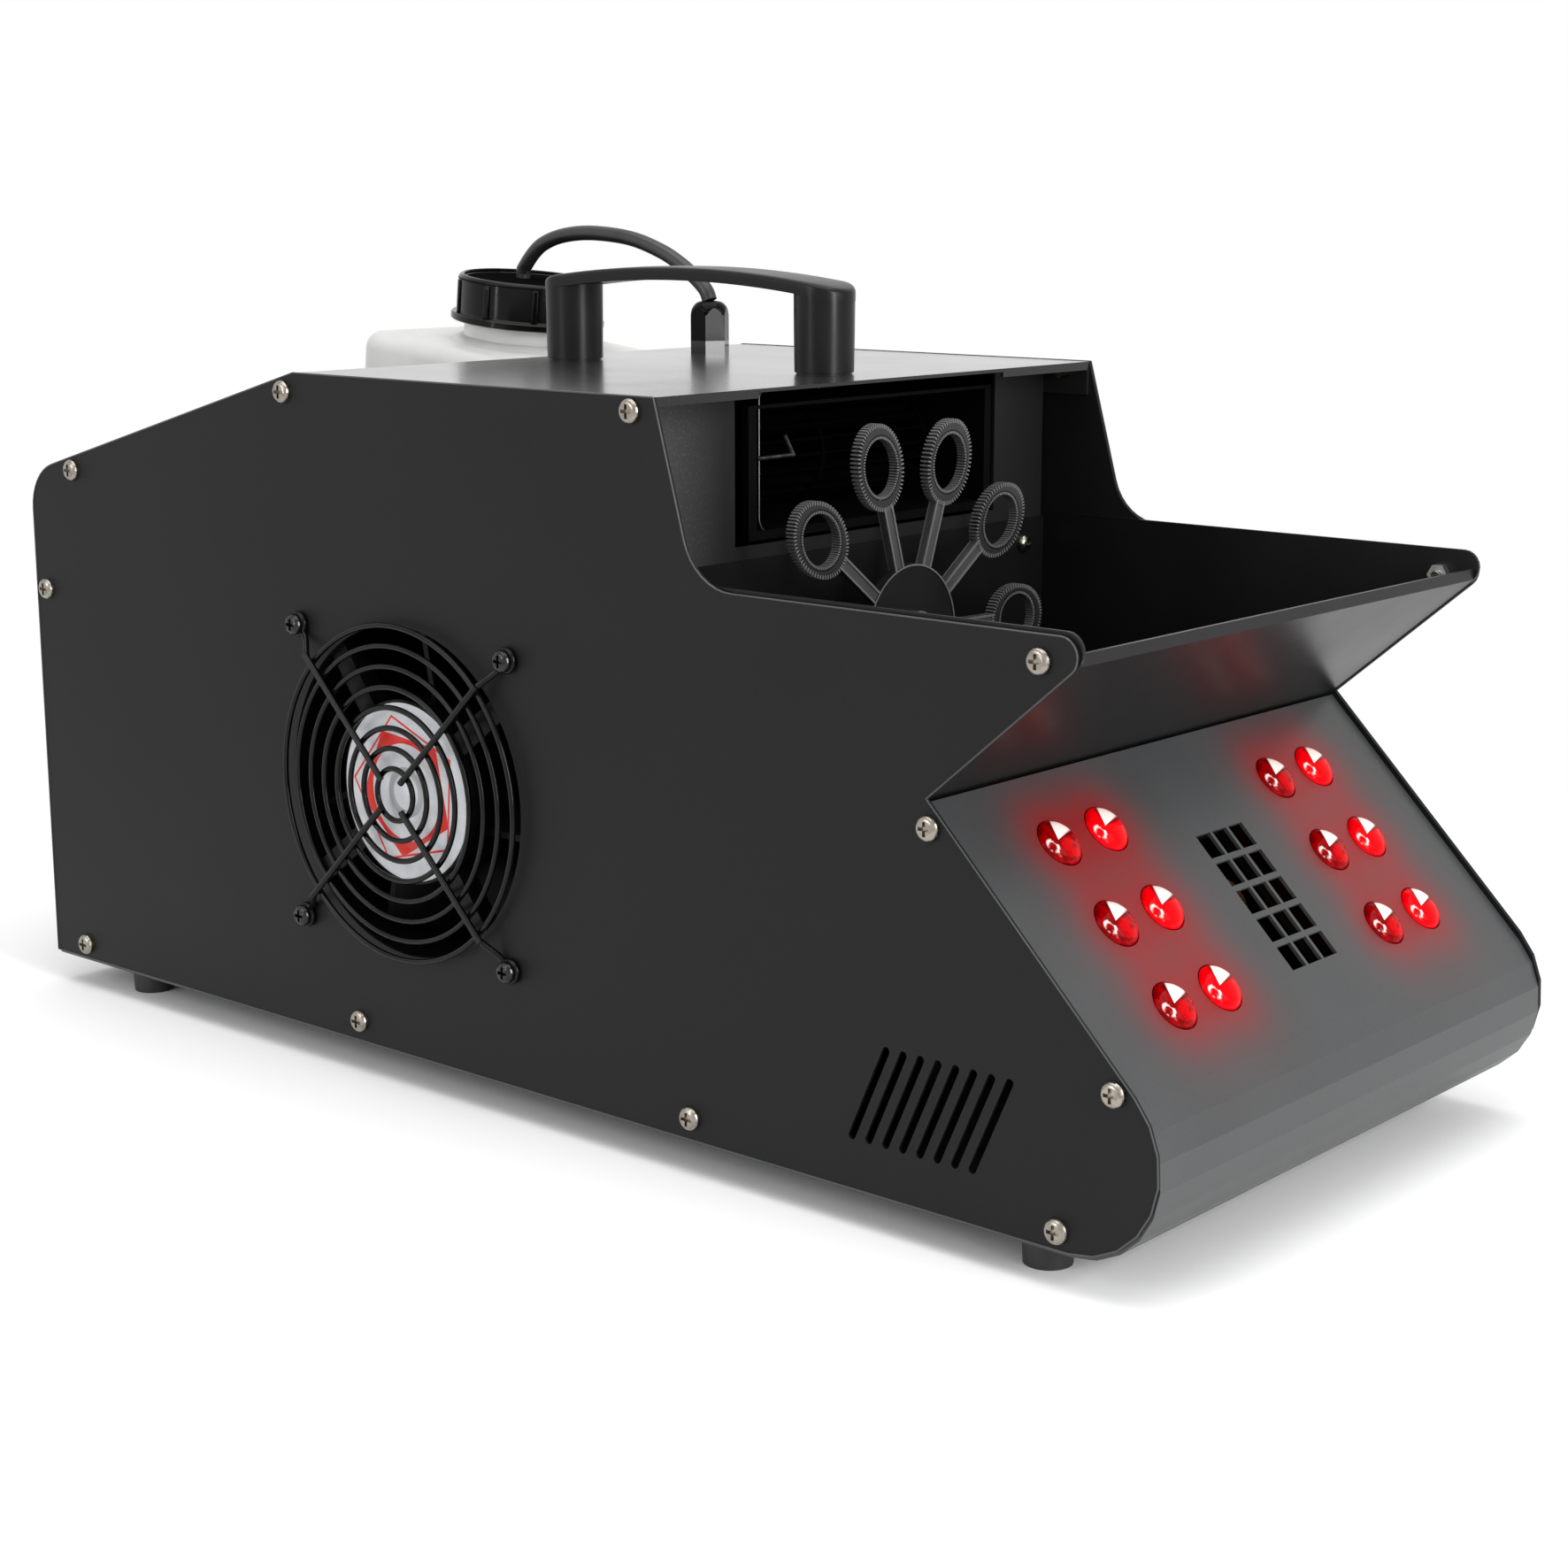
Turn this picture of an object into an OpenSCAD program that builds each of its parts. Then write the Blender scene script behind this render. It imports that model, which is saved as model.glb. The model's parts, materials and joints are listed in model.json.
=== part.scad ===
// Stage fog and bubble machine with a lamp panel, a removable fluid jug and a carrying handle.
// Inside the file every piece stands in the case's own frame: x = 0 is the middle of the case's
// length, y = 0 the middle of its width and z = 0 the bottom edge of the side panels. +X is the
// front, where bubbles and fog leave. standing() then moves the whole part onto its own origin.

/* [Case] */
// Length from the back edge to the front curve
case_len = 518; // [500:1:560]
// Width over both side panels
case_w = 231; // [222:1:280]
// Height of the side panels
case_h = 233.5; // [228:0.5:260]
// Height of the back edge before its corner is rounded
back_h = 189; // [180:1:205]
// Length of the sloped tail over the jug
tail_len = 158.5; // [152:0.5:170]
// Length of the flat top
top_len = 170.5; // [162:0.5:182]
// Rounding of the back top corner
back_round = 18.5; // [8:0.5:26]
// Lean of the edge from the flat top down to the tray, in degrees
brow_lean = 16; // [8:0.5:22]
// Rounding where that edge meets the tray's rim
brow_round = 20; // [8:0.5:30]
// Height of the tray's rim
rim_h = 176.5; // [172:0.5:182]
// Rise of the tray's front wall, in degrees
nose_angle = 40.3; // [38:0.1:43]
// Rounding of the tray's nose
nose_round = 5.7; // [3:0.1:8]
// Height of the corner between the tray's front wall and the lamp panel
recess_h = 124.5; // [120:0.5:128]
// Slope of the lamp panel, in degrees
lamp_angle = 45; // [43:0.5:47]
// Rounding of the side panels' lower front corner
front_round = 29.7; // [22:0.1:34]
// Thickness of the sheet metal
sheet = 1.2; // [1:0.1:1.5]
// Width of the folded flanges
flange_w = 12; // [10:0.5:14]
// Drop of the base sheet below the side panels
base_drop = 1.4; // [0.8:0.1:2]
// Rounding of the base sheet's lower front corner
wrap_round = 29; // [22:0.1:34]

// Height of the tray's floor
tray_floor = 68; // [66:0.5:72]

/* [Screws] */
// Head diameter of the case screws
head_d = 8; // [6:0.1:9]
// Head height of the case screws
head_h = 2.4; // [1.6:0.1:3]
// Shank diameter of the case screws
shank_d = 3; // [2.5:0.1:3]
// Length of the case screws below the head
shank_len = 7; // [5:0.5:9]
// Distance of the case screws from the top edges
screw_inset = 5.1; // [4.6:0.1:6]
// Radial clearance of a screw in its hole
screw_gap = 0.1; // [0.05:0.01:0.2]

/* [Lamp panel] */
// Diameter of a lens
lens_d = 16.2; // [12:0.1:18]
// Height of a lens above the panel
lens_rise = 3.4; // [2:0.1:5]
// Pitch of the lens rows down the panel
lens_pitch = 29.6; // [24:0.1:31]
// First lens row from the recess corner
lens_start = 24.3; // [20:0.1:28]
// Outer lens columns from the middle
lens_outer_y = 73.05; // [66:0.05:80]
// Inner lens columns from the middle
lens_inner_y = 48.8; // [44:0.1:52]
// Space between the panel and its circuit board
board_gap = 9; // [7:0.5:11]
// Thickness of every circuit board
board_t = 1.6; // [1:0.1:2]
// Fog grille: columns of windows
grille_cols = 3; // [2:1:4]
// Fog grille: rows of windows
grille_rows = 5; // [3:1:5]
// Fog grille: width of a window
window_w = 7.9; // [6:0.1:8.5]
// Fog grille: height of a window along the slope
window_h = 8.7; // [6:0.1:9]
// Fog grille: bar between columns
bar_w = 1.4; // [1.2:0.1:2]
// Fog grille: bar between rows
bar_h = 2; // [1.2:0.1:2.2]
// Fog grille: middle, across the panel
grille_y = 3.5; // [-6:0.1:8]
// Fog grille: middle, down the slope from the recess corner
grille_s = 61.2; // [56:0.1:64]

/* [Side vents] */
// Slots in each side panel
vent_count = 8; // [4:1:8]
// Width of a slot
vent_w = 2.7; // [2:0.1:3.4]
// Pitch of the slots
vent_pitch = 6.48; // [5.5:0.01:6.6]
// Height of the slots' upper ends
vent_top = 45.9; // [40:0.1:48]
// Height of the slots' lower ends
vent_bottom = 16.9; // [15:0.1:22]
// Sideways lean of a slot over its height
vent_lean = 12.8; // [0:0.1:14]

/* [Cooling fan] */
// Side of the fan's square frame
fan_size = 120; // [119:0.5:122]
// Depth of the fan
fan_depth = 38; // [36:0.5:40]
// Pitch of the fan's screws
fan_pitch = 105; // [104:0.1:106]
// Radius of the air hole in the side panel
fan_hole_r = 57.5; // [54:0.1:58]
// Radius of the fixed hub
hub_r = 32; // [28:0.1:33]
// Blades on the fan rotor
fan_blades = 7; // [5:1:9]
// Running gap round the fan's shaft
run_gap = 0.05; // [0.03:0.01:0.09]
// Turn of the fan about its axis, in degrees
fan_turn = -0.7; // [-2:0.1:2]
// Rings in the finger guard
guard_rings = 8; // [6:1:8]
// Pitch of the guard's rings
guard_pitch = 7; // [6:0.1:7]
// Wire radius of the guard's rings
ring_wire = 1; // [0.8:0.05:1.2]
// Wire radius of the guard's legs
leg_wire = 1.15; // [1:0.05:1.3]
// Distance from the side panel to the middle of the guard's rings
guard_rise = 4; // [3.4:0.1:6]

/* [Bubble wheel] */
// Rings on the wheel
wand_count = 10; // [6:1:10]
// Distance from the axle to the middle of a ring
wand_reach = 59.7; // [56:0.1:60]
// Length of a ring, away from the axle
wand_l = 29.5; // [26:0.1:30]
// Width of a ring, round the axle
wand_w = 23.3; // [20:0.1:26]
// Rim width at the sides of a ring
wand_rim = 3.3; // [2.5:0.1:5]
// Rim width at the ends of a ring
wand_end = 5; // [3:0.1:6]
// Thickness of the wheel
wand_t = 3.4; // [3:0.1:6]
// Radius of the wheel's hub
wand_hub_r = 23.6; // [18:0.1:25]
// Distance of the wheel from the tray's rear wall
wheel_out = 26.2; // [18:0.1:28]
// Height of the wheel's axle above the tray's floor
wheel_rise = 79; // [78:0.1:81]
// Diameter of the wheel's shaft
wheel_shaft_d = 6; // [5:0.5:8]

/* [Blower] */
// Radius of the cross-flow rotor
blower_r = 17.5; // [14:0.1:18]
// Length of the rotor
blower_len = 116; // [90:1:118]
// Gap between rotor and housing
blower_gap = 2.6; // [2:0.1:4]
// Blades on the rotor
blower_blades = 20; // [12:1:24]

/* [Jug] */
// Length of the jug, front to back
jug_l = 95; // [80:0.5:96]
// Width of the jug
jug_w = 88; // [70:0.5:90]
// Height of the jug's body
jug_h = 149; // [140:0.5:160]
// Rounding of the jug's upright edges
jug_round = 6; // [4:0.5:12]
// Wall of the jug
jug_wall = 1.6; // [1.2:0.1:2.4]
// Forward lean of the jug in its bay, in degrees
jug_tilt = 6.4; // [0:0.1:8]
// Space round the jug in its bay
bay_gap = 2; // [1.5:0.1:3]
// Outside radius of the jug's neck
neck_r = 25.7; // [24:0.1:30]
// Rise of the cap's lower edge above the jug
cap_lift = 8.4; // [4:0.1:9]
// Height of the cap
cap_h = 17.8; // [16:0.1:26]
// Wall of the cap
cap_wall = 2.3; // [1.8:0.1:3]
// Ribs round the cap
cap_ribs = 9; // [6:1:16]
// Diameter of the suction hose
hose_d = 5.8; // [5:0.1:6]

/* [Gland] */
// Height of the hose gland above the top
gland_top = 19.8; // [17:0.1:24]
// Radius over the corners of the gland
gland_r = 7.6; // [7:0.1:9]

/* [Handle] */
// Spacing of the handle's legs
handle_span = 120; // [100:1:124]
// Diameter of the handle's legs
handle_d = 21.2; // [16:0.1:24]
// Height of the handle's middle above the top
handle_rise = 34.8; // [30:0.1:40]
// Thickness of the handle's bar
handle_t = 5; // [4:0.1:8]
// Fall of the bar from its middle to the legs' axes
handle_fall = 3.8; // [2:0.1:6]

/* [Feet] */
// Height of the case above the floor
stand_h = 12.5; // [10:0.1:16]
// Diameter of a foot at its top
foot_d = 16; // [14:0.1:20]
// Spacing of the feet across the machine
foot_span = 197; // [180:1:200]

/* [Back panel] */
// Width of the power inlet's flange
inlet_w = 31; // [28:0.5:34]
// Height of the power inlet's flange
inlet_h = 25; // [22:0.5:28]
// Width of the rocker switch's frame
switch_w = 15; // [13:0.5:18]
// Height of the rocker switch's frame
switch_h = 21; // [19:0.5:24]
// Travel of a rocker from off to on, in degrees
switch_turn = 16; // [10:1:18]
// Diameter of a signal socket's shell
socket_d = 24; // [22:0.5:25]
// Diameter of a menu button
button_d = 8; // [6:0.5:9]
// Travel of a menu button
button_travel = 1.5; // [1:0.1:2]
// Width of the display window
display_w = 46; // [36:1:50]
// Height of the display window
display_h = 18; // [14:1:20]

/* [Hidden] */
$fn = 48;
arc_steps = 8;

// --- outlines -------------------------------------------------------------------------------
function unit(v) = v / norm(v);
function left_of(v) = [-v.y, v.x];
function flip(list) = [for (i = [len(list) - 1 : -1 : 0]) list[i]];
function flat(p) = [p.x, p.y];

// Arc that rounds the corner b, between a and c, with radius r
function corner_arc(a, b, c, r) =
    let (u = unit(a - b), v = unit(c - b), half = acos(u * v) / 2,
         middle = b + unit(u + v) * r / sin(half), reach = r / tan(half),
         from = b + u * reach - middle, to = b + v * reach - middle,
         start = atan2(from.y, from.x),
         turn = (atan2(to.y, to.x) - start + 540) % 360 - 180)
    [for (k = [0 : arc_steps]) middle + r * [cos(start + turn * k / arc_steps),
                                             sin(start + turn * k / arc_steps)]];

// Points of an open path whose inner corners [x, z, radius] are rounded
function smooth(path) = [for (i = [0 : len(path) - 1])
    each (i == 0 || i == len(path) - 1 || path[i][2] <= 0 ? [flat(path[i])]
        : corner_arc(flat(path[i - 1]), flat(path[i]), flat(path[i + 1]), path[i][2]))];

// The same path moved to its left by d, with its radii changed to match
function shifted(path, d) = [for (i = [0 : len(path) - 1])
    let (b = flat(path[i]),
         e1 = i == 0 ? unit(flat(path[1]) - b) : unit(b - flat(path[i - 1])),
         e2 = i == len(path) - 1 ? e1 : unit(flat(path[i + 1]) - b),
         n1 = left_of(e1), n2 = left_of(e2), p = b + d * (n1 + n2) / (1 + n1 * n2),
         r = path[i][2])
    [p.x, p.y, r <= 0 ? 0 : max(0, r + (cross(e1, e2) > 0 ? -d : d))]];

// Sheet of metal that follows a path, between two distances from it
module strip(path, d0, d1)
    polygon(concat(smooth(shifted(path, d0)), flip(smooth(shifted(path, d1)))));

// Closed outline whose first corner is sharp
module outline(loop) {
    points = smooth(concat(loop, [loop[0]]));
    polygon([for (i = [0 : len(points) - 2]) points[i]]);
}

// --- placing --------------------------------------------------------------------------------
// Children drawn in x and z, from y0 to y1
module across(y0, y1) translate([0, y1, 0]) rotate([90, 0, 0]) linear_extrude(y1 - y0) children();
// Children drawn in y and z, from x0 to x1
module along(x0, x1) translate([x0, 0, 0]) rotate([90, 0, 90]) linear_extrude(x1 - x0) children();
// A round bar along X, Y or Z
module bar_x(x0, x1, r) translate([x0, 0, 0]) rotate([0, 90, 0]) cylinder(r = r, h = x1 - x0);
module bar_y(y0, y1, r) translate([0, y1, 0]) rotate([90, 0, 0]) cylinder(r = r, h = y1 - y0);
module box(x, y, z) translate([x[0], y[0], z[0]]) cube([x[1] - x[0], y[1] - y[0], z[1] - z[0]]);
module both_sides() {
    children();
    mirror([0, 1, 0]) children();
}

// --- case -----------------------------------------------------------------------------------
half_w = case_w / 2;
in_y = half_w - sheet;
back_x = -case_len / 2;
front_x = case_len / 2;
break_x = back_x + tail_len;
brow_x = break_x + top_len;
tail_slope = atan((case_h - back_h) / tail_len);
ledge_x = brow_x + (case_h - rim_h) * tan(brow_lean);
lamp_foot_x = front_x - front_round + front_round / tan(lamp_angle / 2);
recess_x = lamp_foot_x - recess_h / tan(lamp_angle);
nose_x = recess_x + (rim_h - recess_h) / tan(nose_angle);
CASE = [[back_x, 0, 0], [lamp_foot_x, 0, front_round], [recess_x, recess_h, 0],
    [nose_x, rim_h, nose_round], [ledge_x, rim_h, brow_round], [brow_x, case_h, 0],
    [break_x, case_h, 0], [back_x, back_h, back_round]];

// Height of the sloped tail above a place along the case
function tail_z(x) = case_h - (break_x - x) * tan(tail_slope);

// Lamp panel: outward normal, direction down the slope, and the foot of the recess corner on it
lamp_n = [sin(lamp_angle), cos(lamp_angle)];
lamp_t = [cos(lamp_angle), -sin(lamp_angle)];
wrap_mid = [front_x - wrap_round, wrap_round - base_drop];
wrap_foot_x = wrap_mid.x + wrap_round / tan(lamp_angle / 2);
lamp_top = [recess_x, recess_h]
    - (([recess_x, recess_h] - wrap_mid) * lamp_n - wrap_round) * lamp_n;
lamp_gap = 0.4;
lamp_end = lamp_top + lamp_gap * lamp_t;
lamp_len = norm(wrap_mid + wrap_round * lamp_n - lamp_top);
WRAP = [[back_x, -base_drop, 0], [wrap_foot_x, -base_drop, wrap_round],
    [lamp_end.x, lamp_end.y, 0]];
floor_z = sheet - base_drop;

// Children placed on the lamp panel: X runs down the slope and Z points out
module on_lamp(s, y, h = 0)
    translate([lamp_top.x + s * lamp_t.x + h * lamp_n.x, y,
               lamp_top.y + s * lamp_t.y + h * lamp_n.y])
        rotate([0, lamp_angle, 0]) children();

// Top cover: front edge, flat top, tail and rounded corner down to the back panel
cover_end_z = 156;
COVER = [[brow_x, case_h, 0], [break_x, case_h, 0], [back_x, back_h, back_round],
    [back_x, cover_end_z, 0]];

// Case screws on each side, as [x, z]
cheek_screw = [nose_x - 22.3, rim_h - 7.6];
bottom_line = 6.4;
SCREWS = [
    [back_x + 27, tail_z(back_x + 27) - screw_inset],
    [break_x - 5.5, case_h - 6.7],
    [brow_x - 9.5, case_h - screw_inset + 0.5],
    [back_x + 6.7, cover_end_z - 11.3],
    [back_x + 19.9, bottom_line - 0.8],
    [back_x + 183, bottom_line + 0.8],
    [front_x - 175.6, bottom_line + 0.8],
    [wrap_mid.x - 4.5, bottom_line - 0.6],
    [lamp_foot_x - 57.3, 50.5],
    [recess_x + 1.1, recess_h - 8.5],
    cheek_screw];

// Pan head screw along Z, its head's seat at z = 0
module pan_screw(d, h, shank, len, cross_w = 1.1) {
    difference() {
        rotate_extrude() polygon(concat([[0, 0], [d / 2, 0]],
            [for (a = [0 : 15 : 90]) [d / 2 - h * 0.8 * (1 - cos(a)), h * (0.25 + 0.75 * sin(a))]],
            [[0, h]]));
        for (a = [0, 90]) rotate(a)
            translate([-d * 0.28, -cross_w / 2, h * 0.45]) cube([d * 0.56, cross_w, h]);
    }
    translate([0, 0, -len]) cylinder(d = shank, h = len + 0.01);
}
// Hexagon nut along Z from z = 0, with a bore for its screw
module hex_nut(across_flats, h, shank)
    difference() {
        cylinder(r = across_flats / sqrt(3), h = h, $fn = 6);
        translate([0, 0, -1]) cylinder(r = shank / 2 + screw_gap, h = h + 2);
    }

vent_r = vent_w / 2;
vent_x = recess_x - 14;
module vent_slots()
    for (i = [0 : vent_count - 1]) {
        top = [vent_x + i * vent_pitch, vent_top];
        foot = top - [vent_lean, vent_top - vent_bottom];
        side = vent_r * unit(left_of(top - foot));
        translate(top) circle(vent_r, $fn = 24);
        translate(foot) circle(vent_r, $fn = 24);
        polygon([top + side, foot + side, foot - side, top - side]);
    }
module side_panel_sheet()
    difference() {
        outline(CASE);
        for (p = SCREWS) translate(p) circle(r = shank_d / 2 + screw_gap);
    }
module side_panel_near()
    color("#343536") difference() {
        across(-half_w, -in_y) side_panel_sheet();
        across(-half_w - 1, -in_y + 1) vent_slots();
        in_fan_frame() {
            bar_y(-half_w - 1, -in_y + 1, fan_hole_r);
            fan_corners() bar_y(-half_w - 1, -in_y + 1, fan_screw_d / 2 + screw_gap);
        }
    }
module side_panel_far()
    color("#343536") across(in_y, half_w) side_panel_sheet();

// Clearance holes for the case screws, through the flanges on both sides
module screw_holes(from, to)
    both_sides()
        for (i = [from : to])
            translate([SCREWS[i].x, 0, SCREWS[i].y])
                bar_y(-in_y - 1, -in_y + sheet + 1, shank_d / 2 + screw_gap);

foot_x_front = front_x - 48.5;
foot_x_back = back_x + 38.5;
FEET = [for (x = [foot_x_front, foot_x_back], y = [-foot_span / 2, foot_span / 2]) [x, y]];
grille_w = grille_cols * window_w + (grille_cols - 1) * bar_w;
grille_h = grille_rows * window_h + (grille_rows - 1) * bar_h;
module base_wrap()
    color("#4e5052") difference() {
        union() {
            across(-in_y, in_y) strip(WRAP, 0, sheet);
            both_sides() across(-in_y, -in_y + sheet) strip(WRAP, 0, flange_w);
        }
        for (p = lens_places()) on_lamp(p.x, p.y, -3) cylinder(r = lens_d / 2 + lens_gap, h = 6);
        on_lamp(grille_s, grille_y, -3)
            for (i = [0 : grille_rows - 1], j = [0 : grille_cols - 1])
                translate([i * (window_h + bar_h) - grille_h / 2,
                           j * (window_w + bar_w) - grille_w / 2, 0])
                    cube([window_h, window_w, 6]);
        screw_holes(4, 9);
        for (p = FEET) translate([p.x, p.y, -base_drop - 1])
            cylinder(r = foot_screw_d / 2 + screw_gap, h = 4);
        both_sides() box([back_x - 1, back_in], [-in_y - 1, -in_y + sheet + 0.01],
            [floor_z, flange_w]);
    }

handle_x = (break_x + brow_x) / 2 - 4.5;
HANDLE_LEGS = [handle_x - handle_span / 2, handle_x + handle_span / 2];
gland_at = [break_x + 33, 60];
gland_hole_r = 6.3;
module top_cover()
    color("#2c2d2e") difference() {
        union() {
            across(-in_y, in_y) strip(COVER, 0, sheet);
            both_sides() across(-in_y, -in_y + sheet) strip(COVER, 0, flange_w);
            for (y = [[-in_y + sheet, -67], [62, in_y - sheet]])
                box([brow_x - sheet, brow_x], y, [case_h - 3, case_h - 0.01]);
        }
        for (x = HANDLE_LEGS) translate([x, 0, case_h - 3])
            cylinder(r = handle_screw_d / 2 + screw_gap, h = 4);
        translate([gland_at.x, gland_at.y, case_h - 3]) cylinder(r = gland_hole_r + 0.1, h = 4);
        in_bay() bay_room(jug_h * 0.6, jug_h * 1.6);
        screw_holes(0, 2);
    }

// --- back panel -----------------------------------------------------------------------------
back_in = back_x + sheet;
inlet_at = [-78, 34];
fuse_at = [-78, 72];
fuse_r = 6;
switch_at = [-44, 34];
signal_in_at = [6, 34];
signal_out_at = [40, 34];
display_at = [-50, 128];
button_row = [for (i = [0 : 3]) [display_at.x - 24 + 16 * i, 103]];
board_x = back_in + 9;
BOARD_POSTS = [[display_at.x - 32, 92], [display_at.x + 32, 92],
    [display_at.x - 32, 144], [display_at.x + 32, 144]];
module at_back(p, x = back_x) translate([x, p.x, p.y]) children();
module on_back(p, x0, x1) at_back(p, 0) along(x0, x1) children();
module rear_panel()
    color("#2f3031") difference() {
        union() {
            box([back_x, back_in], [-in_y, in_y], [floor_z, cover_end_z]);
            both_sides()
                box([back_in - 0.01, back_x + flange_w], [-in_y, -in_y + sheet],
                    [floor_z + flange_w, cover_end_z]);
        }
        on_back(inlet_at, back_x - 1, back_in + 1) square([inlet_w - 4, inlet_h - 5], center = true);
        on_back(switch_at, back_x - 1, back_in + 1)
            square([switch_w - 2, switch_h - 2], center = true);
        on_back(display_at, back_x - 1, back_in + 1) square([display_w, display_h], center = true);
        at_back(fuse_at) bar_x(-1, 3, fuse_r + 0.1);
        for (p = button_row) at_back(p) bar_x(-1, 3, button_d / 2 + 0.3);
        for (p = [signal_in_at, signal_out_at]) at_back(p) bar_x(-1, 3, socket_d / 2 - 1.9);
        screw_holes(3, 3);
    }

module power_inlet()
    color("#1a1a1b") {
        difference() {
            union() {
                on_back(inlet_at, back_x - 2, back_x) square([inlet_w, inlet_h], center = true);
                on_back(inlet_at, back_x - 0.5, back_x + 20)
                    square([inlet_w - 4.2, inlet_h - 5.2], center = true);
            }
            on_back(inlet_at, back_x - 3, back_x + 16)
                square([inlet_w - 7, inlet_h - 9], center = true);
        }
        for (p = [[-7, 2], [0, -2], [7, 2]])
            on_back(inlet_at + p, back_x + 4, back_x + 26) square([2, 4], center = true);
    }
module fuse_holder()
    color("#1a1a1b") difference() {
        union() {
            at_back(fuse_at) bar_x(-1.5, 0, 8);
            at_back(fuse_at) bar_x(-0.5, 26, fuse_r);
            at_back(fuse_at) bar_x(sheet, sheet + 3, 8.5);
        }
        at_back(fuse_at) bar_x(-2, 22, 4.6);
    }
module fuse_cap()
    color("#1a1a1b") difference() {
        union() {
            at_back(fuse_at) bar_x(-8, -1.8, 6.4);
            at_back(fuse_at) bar_x(-2, 20, 4.3);
        }
        at_back(fuse_at, back_x - 8.5) translate([0, -8, -0.7]) cube([1.8, 16, 1.4]);
    }
rocker_x = back_x + 1;
rocker_r = 5.2;
module switch_frame()
    color("#1a1a1b") difference() {
        union() {
            on_back(switch_at, back_x - 2, back_x) square([switch_w, switch_h], center = true);
            on_back(switch_at, back_x - 0.5, back_x + 16)
                square([switch_w - 2.2, switch_h - 2.2], center = true);
        }
        on_back(switch_at, back_x - 3, back_x + 12)
            square([switch_w - 5, switch_h - 4.4], center = true);
        at_back(switch_at, rocker_x) bar_y(-switch_w / 2 + 1.4, switch_w / 2 - 1.4, 1 + run_gap);
    }
// Rocker with its pivot at x = 0, z = 0, standing at off
module switch_rocker()
    color("#b01818") at_back(switch_at, rocker_x) {
        bar_y(-switch_w / 2 + 1.6, switch_w / 2 - 1.6, 1);
        rotate([0, switch_turn / 2, 0])
            across(-switch_w / 2 + 2.8, switch_w / 2 - 2.8)
                polygon([[-4.2, -switch_h / 2 + 3.2], [-2.6, 0], [-4.2, switch_h / 2 - 3.2],
                    [0.5, switch_h / 2 - 3.6], [rocker_r, 1.2], [rocker_r, -1.2],
                    [0.5, -switch_h / 2 + 3.6]]);
    }
module socket_shell(depth)
    difference() {
        union() {
            on_back([0, 0], back_x - 2, back_x) square([socket_d + 2, socket_d + 7], center = true);
            at_back([0, 0]) bar_x(-0.5, depth, socket_d / 2 - 2);
        }
        at_back([0, 0]) bar_x(-3, depth - 3, socket_d / 2 - 3.5);
    }
PINS = [[-3.5, 2], [3.5, 2], [0, -4]];
module signal_in()
    color("#26272a") translate([0, signal_in_at.x, signal_in_at.y]) {
        socket_shell(20);
        for (p = PINS) at_back(p) bar_x(4, 24, 1.2);
    }
module signal_out()
    color("#26272a") translate([0, signal_out_at.x, signal_out_at.y]) {
        socket_shell(20);
        difference() {
            at_back([0, 0]) bar_x(0.5, 17.5, socket_d / 2 - 4.2);
            for (p = PINS) at_back(p) bar_x(0, 14, 1.3);
        }
    }
module display_window()
    color("#101214") {
        on_back(display_at, back_x + 0.2, back_in + 2)
            square([display_w - 0.4, display_h - 0.4], center = true);
        on_back(display_at, back_in + 1.99, board_x)
            square([display_w + 2, display_h + 2], center = true);
    }
module control_board()
    color("#1d5a35") {
        on_back(display_at, board_x, board_x + board_t)
            translate([0, -10]) square([72, 60], center = true);
        for (p = BOARD_POSTS) at_back(p, back_in) bar_x(0, board_x - back_in + 0.01, 2.5);
        for (p = button_row)
            on_back(p, button_seat, board_x + 0.01) square([6, 6], center = true);
    }
button_seat = board_x - 3.4;
module menu_button(i)
    color("#1c1d1f") at_back(button_row[i], 0) {
        bar_x(back_x - 1.8, back_in + 0.8, button_d / 2);
        bar_x(back_in + 0.3, back_in + 1.5, button_d / 2 + 1);
        bar_x(back_in + 1.4, button_seat - button_travel - 0.2, 2);
    }
module button_menu() menu_button(0);
module button_up() menu_button(1);
module button_down() menu_button(2);
module button_enter() menu_button(3);

// --- lamp panel -----------------------------------------------------------------------------
lens_gap = 0.2;
lens_mid_y = 1.4;
function lens_places() = [for (i = [0 : 2], y = [-lens_outer_y, -lens_inner_y,
    lens_inner_y, lens_outer_y]) [lens_start + i * lens_pitch, lens_mid_y + y]];
chip = 3.5;
chip_h = 1.8;
module led_lenses()
    color("#e01010") for (p = lens_places()) on_lamp(p.x, p.y)
        rotate_extrude()
            polygon(concat([[chip, -sheet - board_gap], [lens_d / 2 - 2, -sheet - board_gap],
                [lens_d / 2 - 2, -sheet - 1], [lens_d / 2, -sheet], [lens_d / 2, lens_rise * 0.3]],
                [for (a = [15 : 15 : 75]) [lens_d / 2 * cos(a), lens_rise * (0.3 + 0.7 * sin(a))]],
                [[0, lens_rise], [0, 1 - sheet - board_gap + chip_h],
                [chip, 1 - sheet - board_gap + chip_h]]));
module led_chips()
    color("#f5e7b0") for (p = lens_places()) on_lamp(p.x, p.y, -sheet - board_gap)
        translate([-chip / 2, -chip / 2, 0]) cube([chip, chip, chip_h]);
led_board_y = lens_outer_y + 16;
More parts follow.
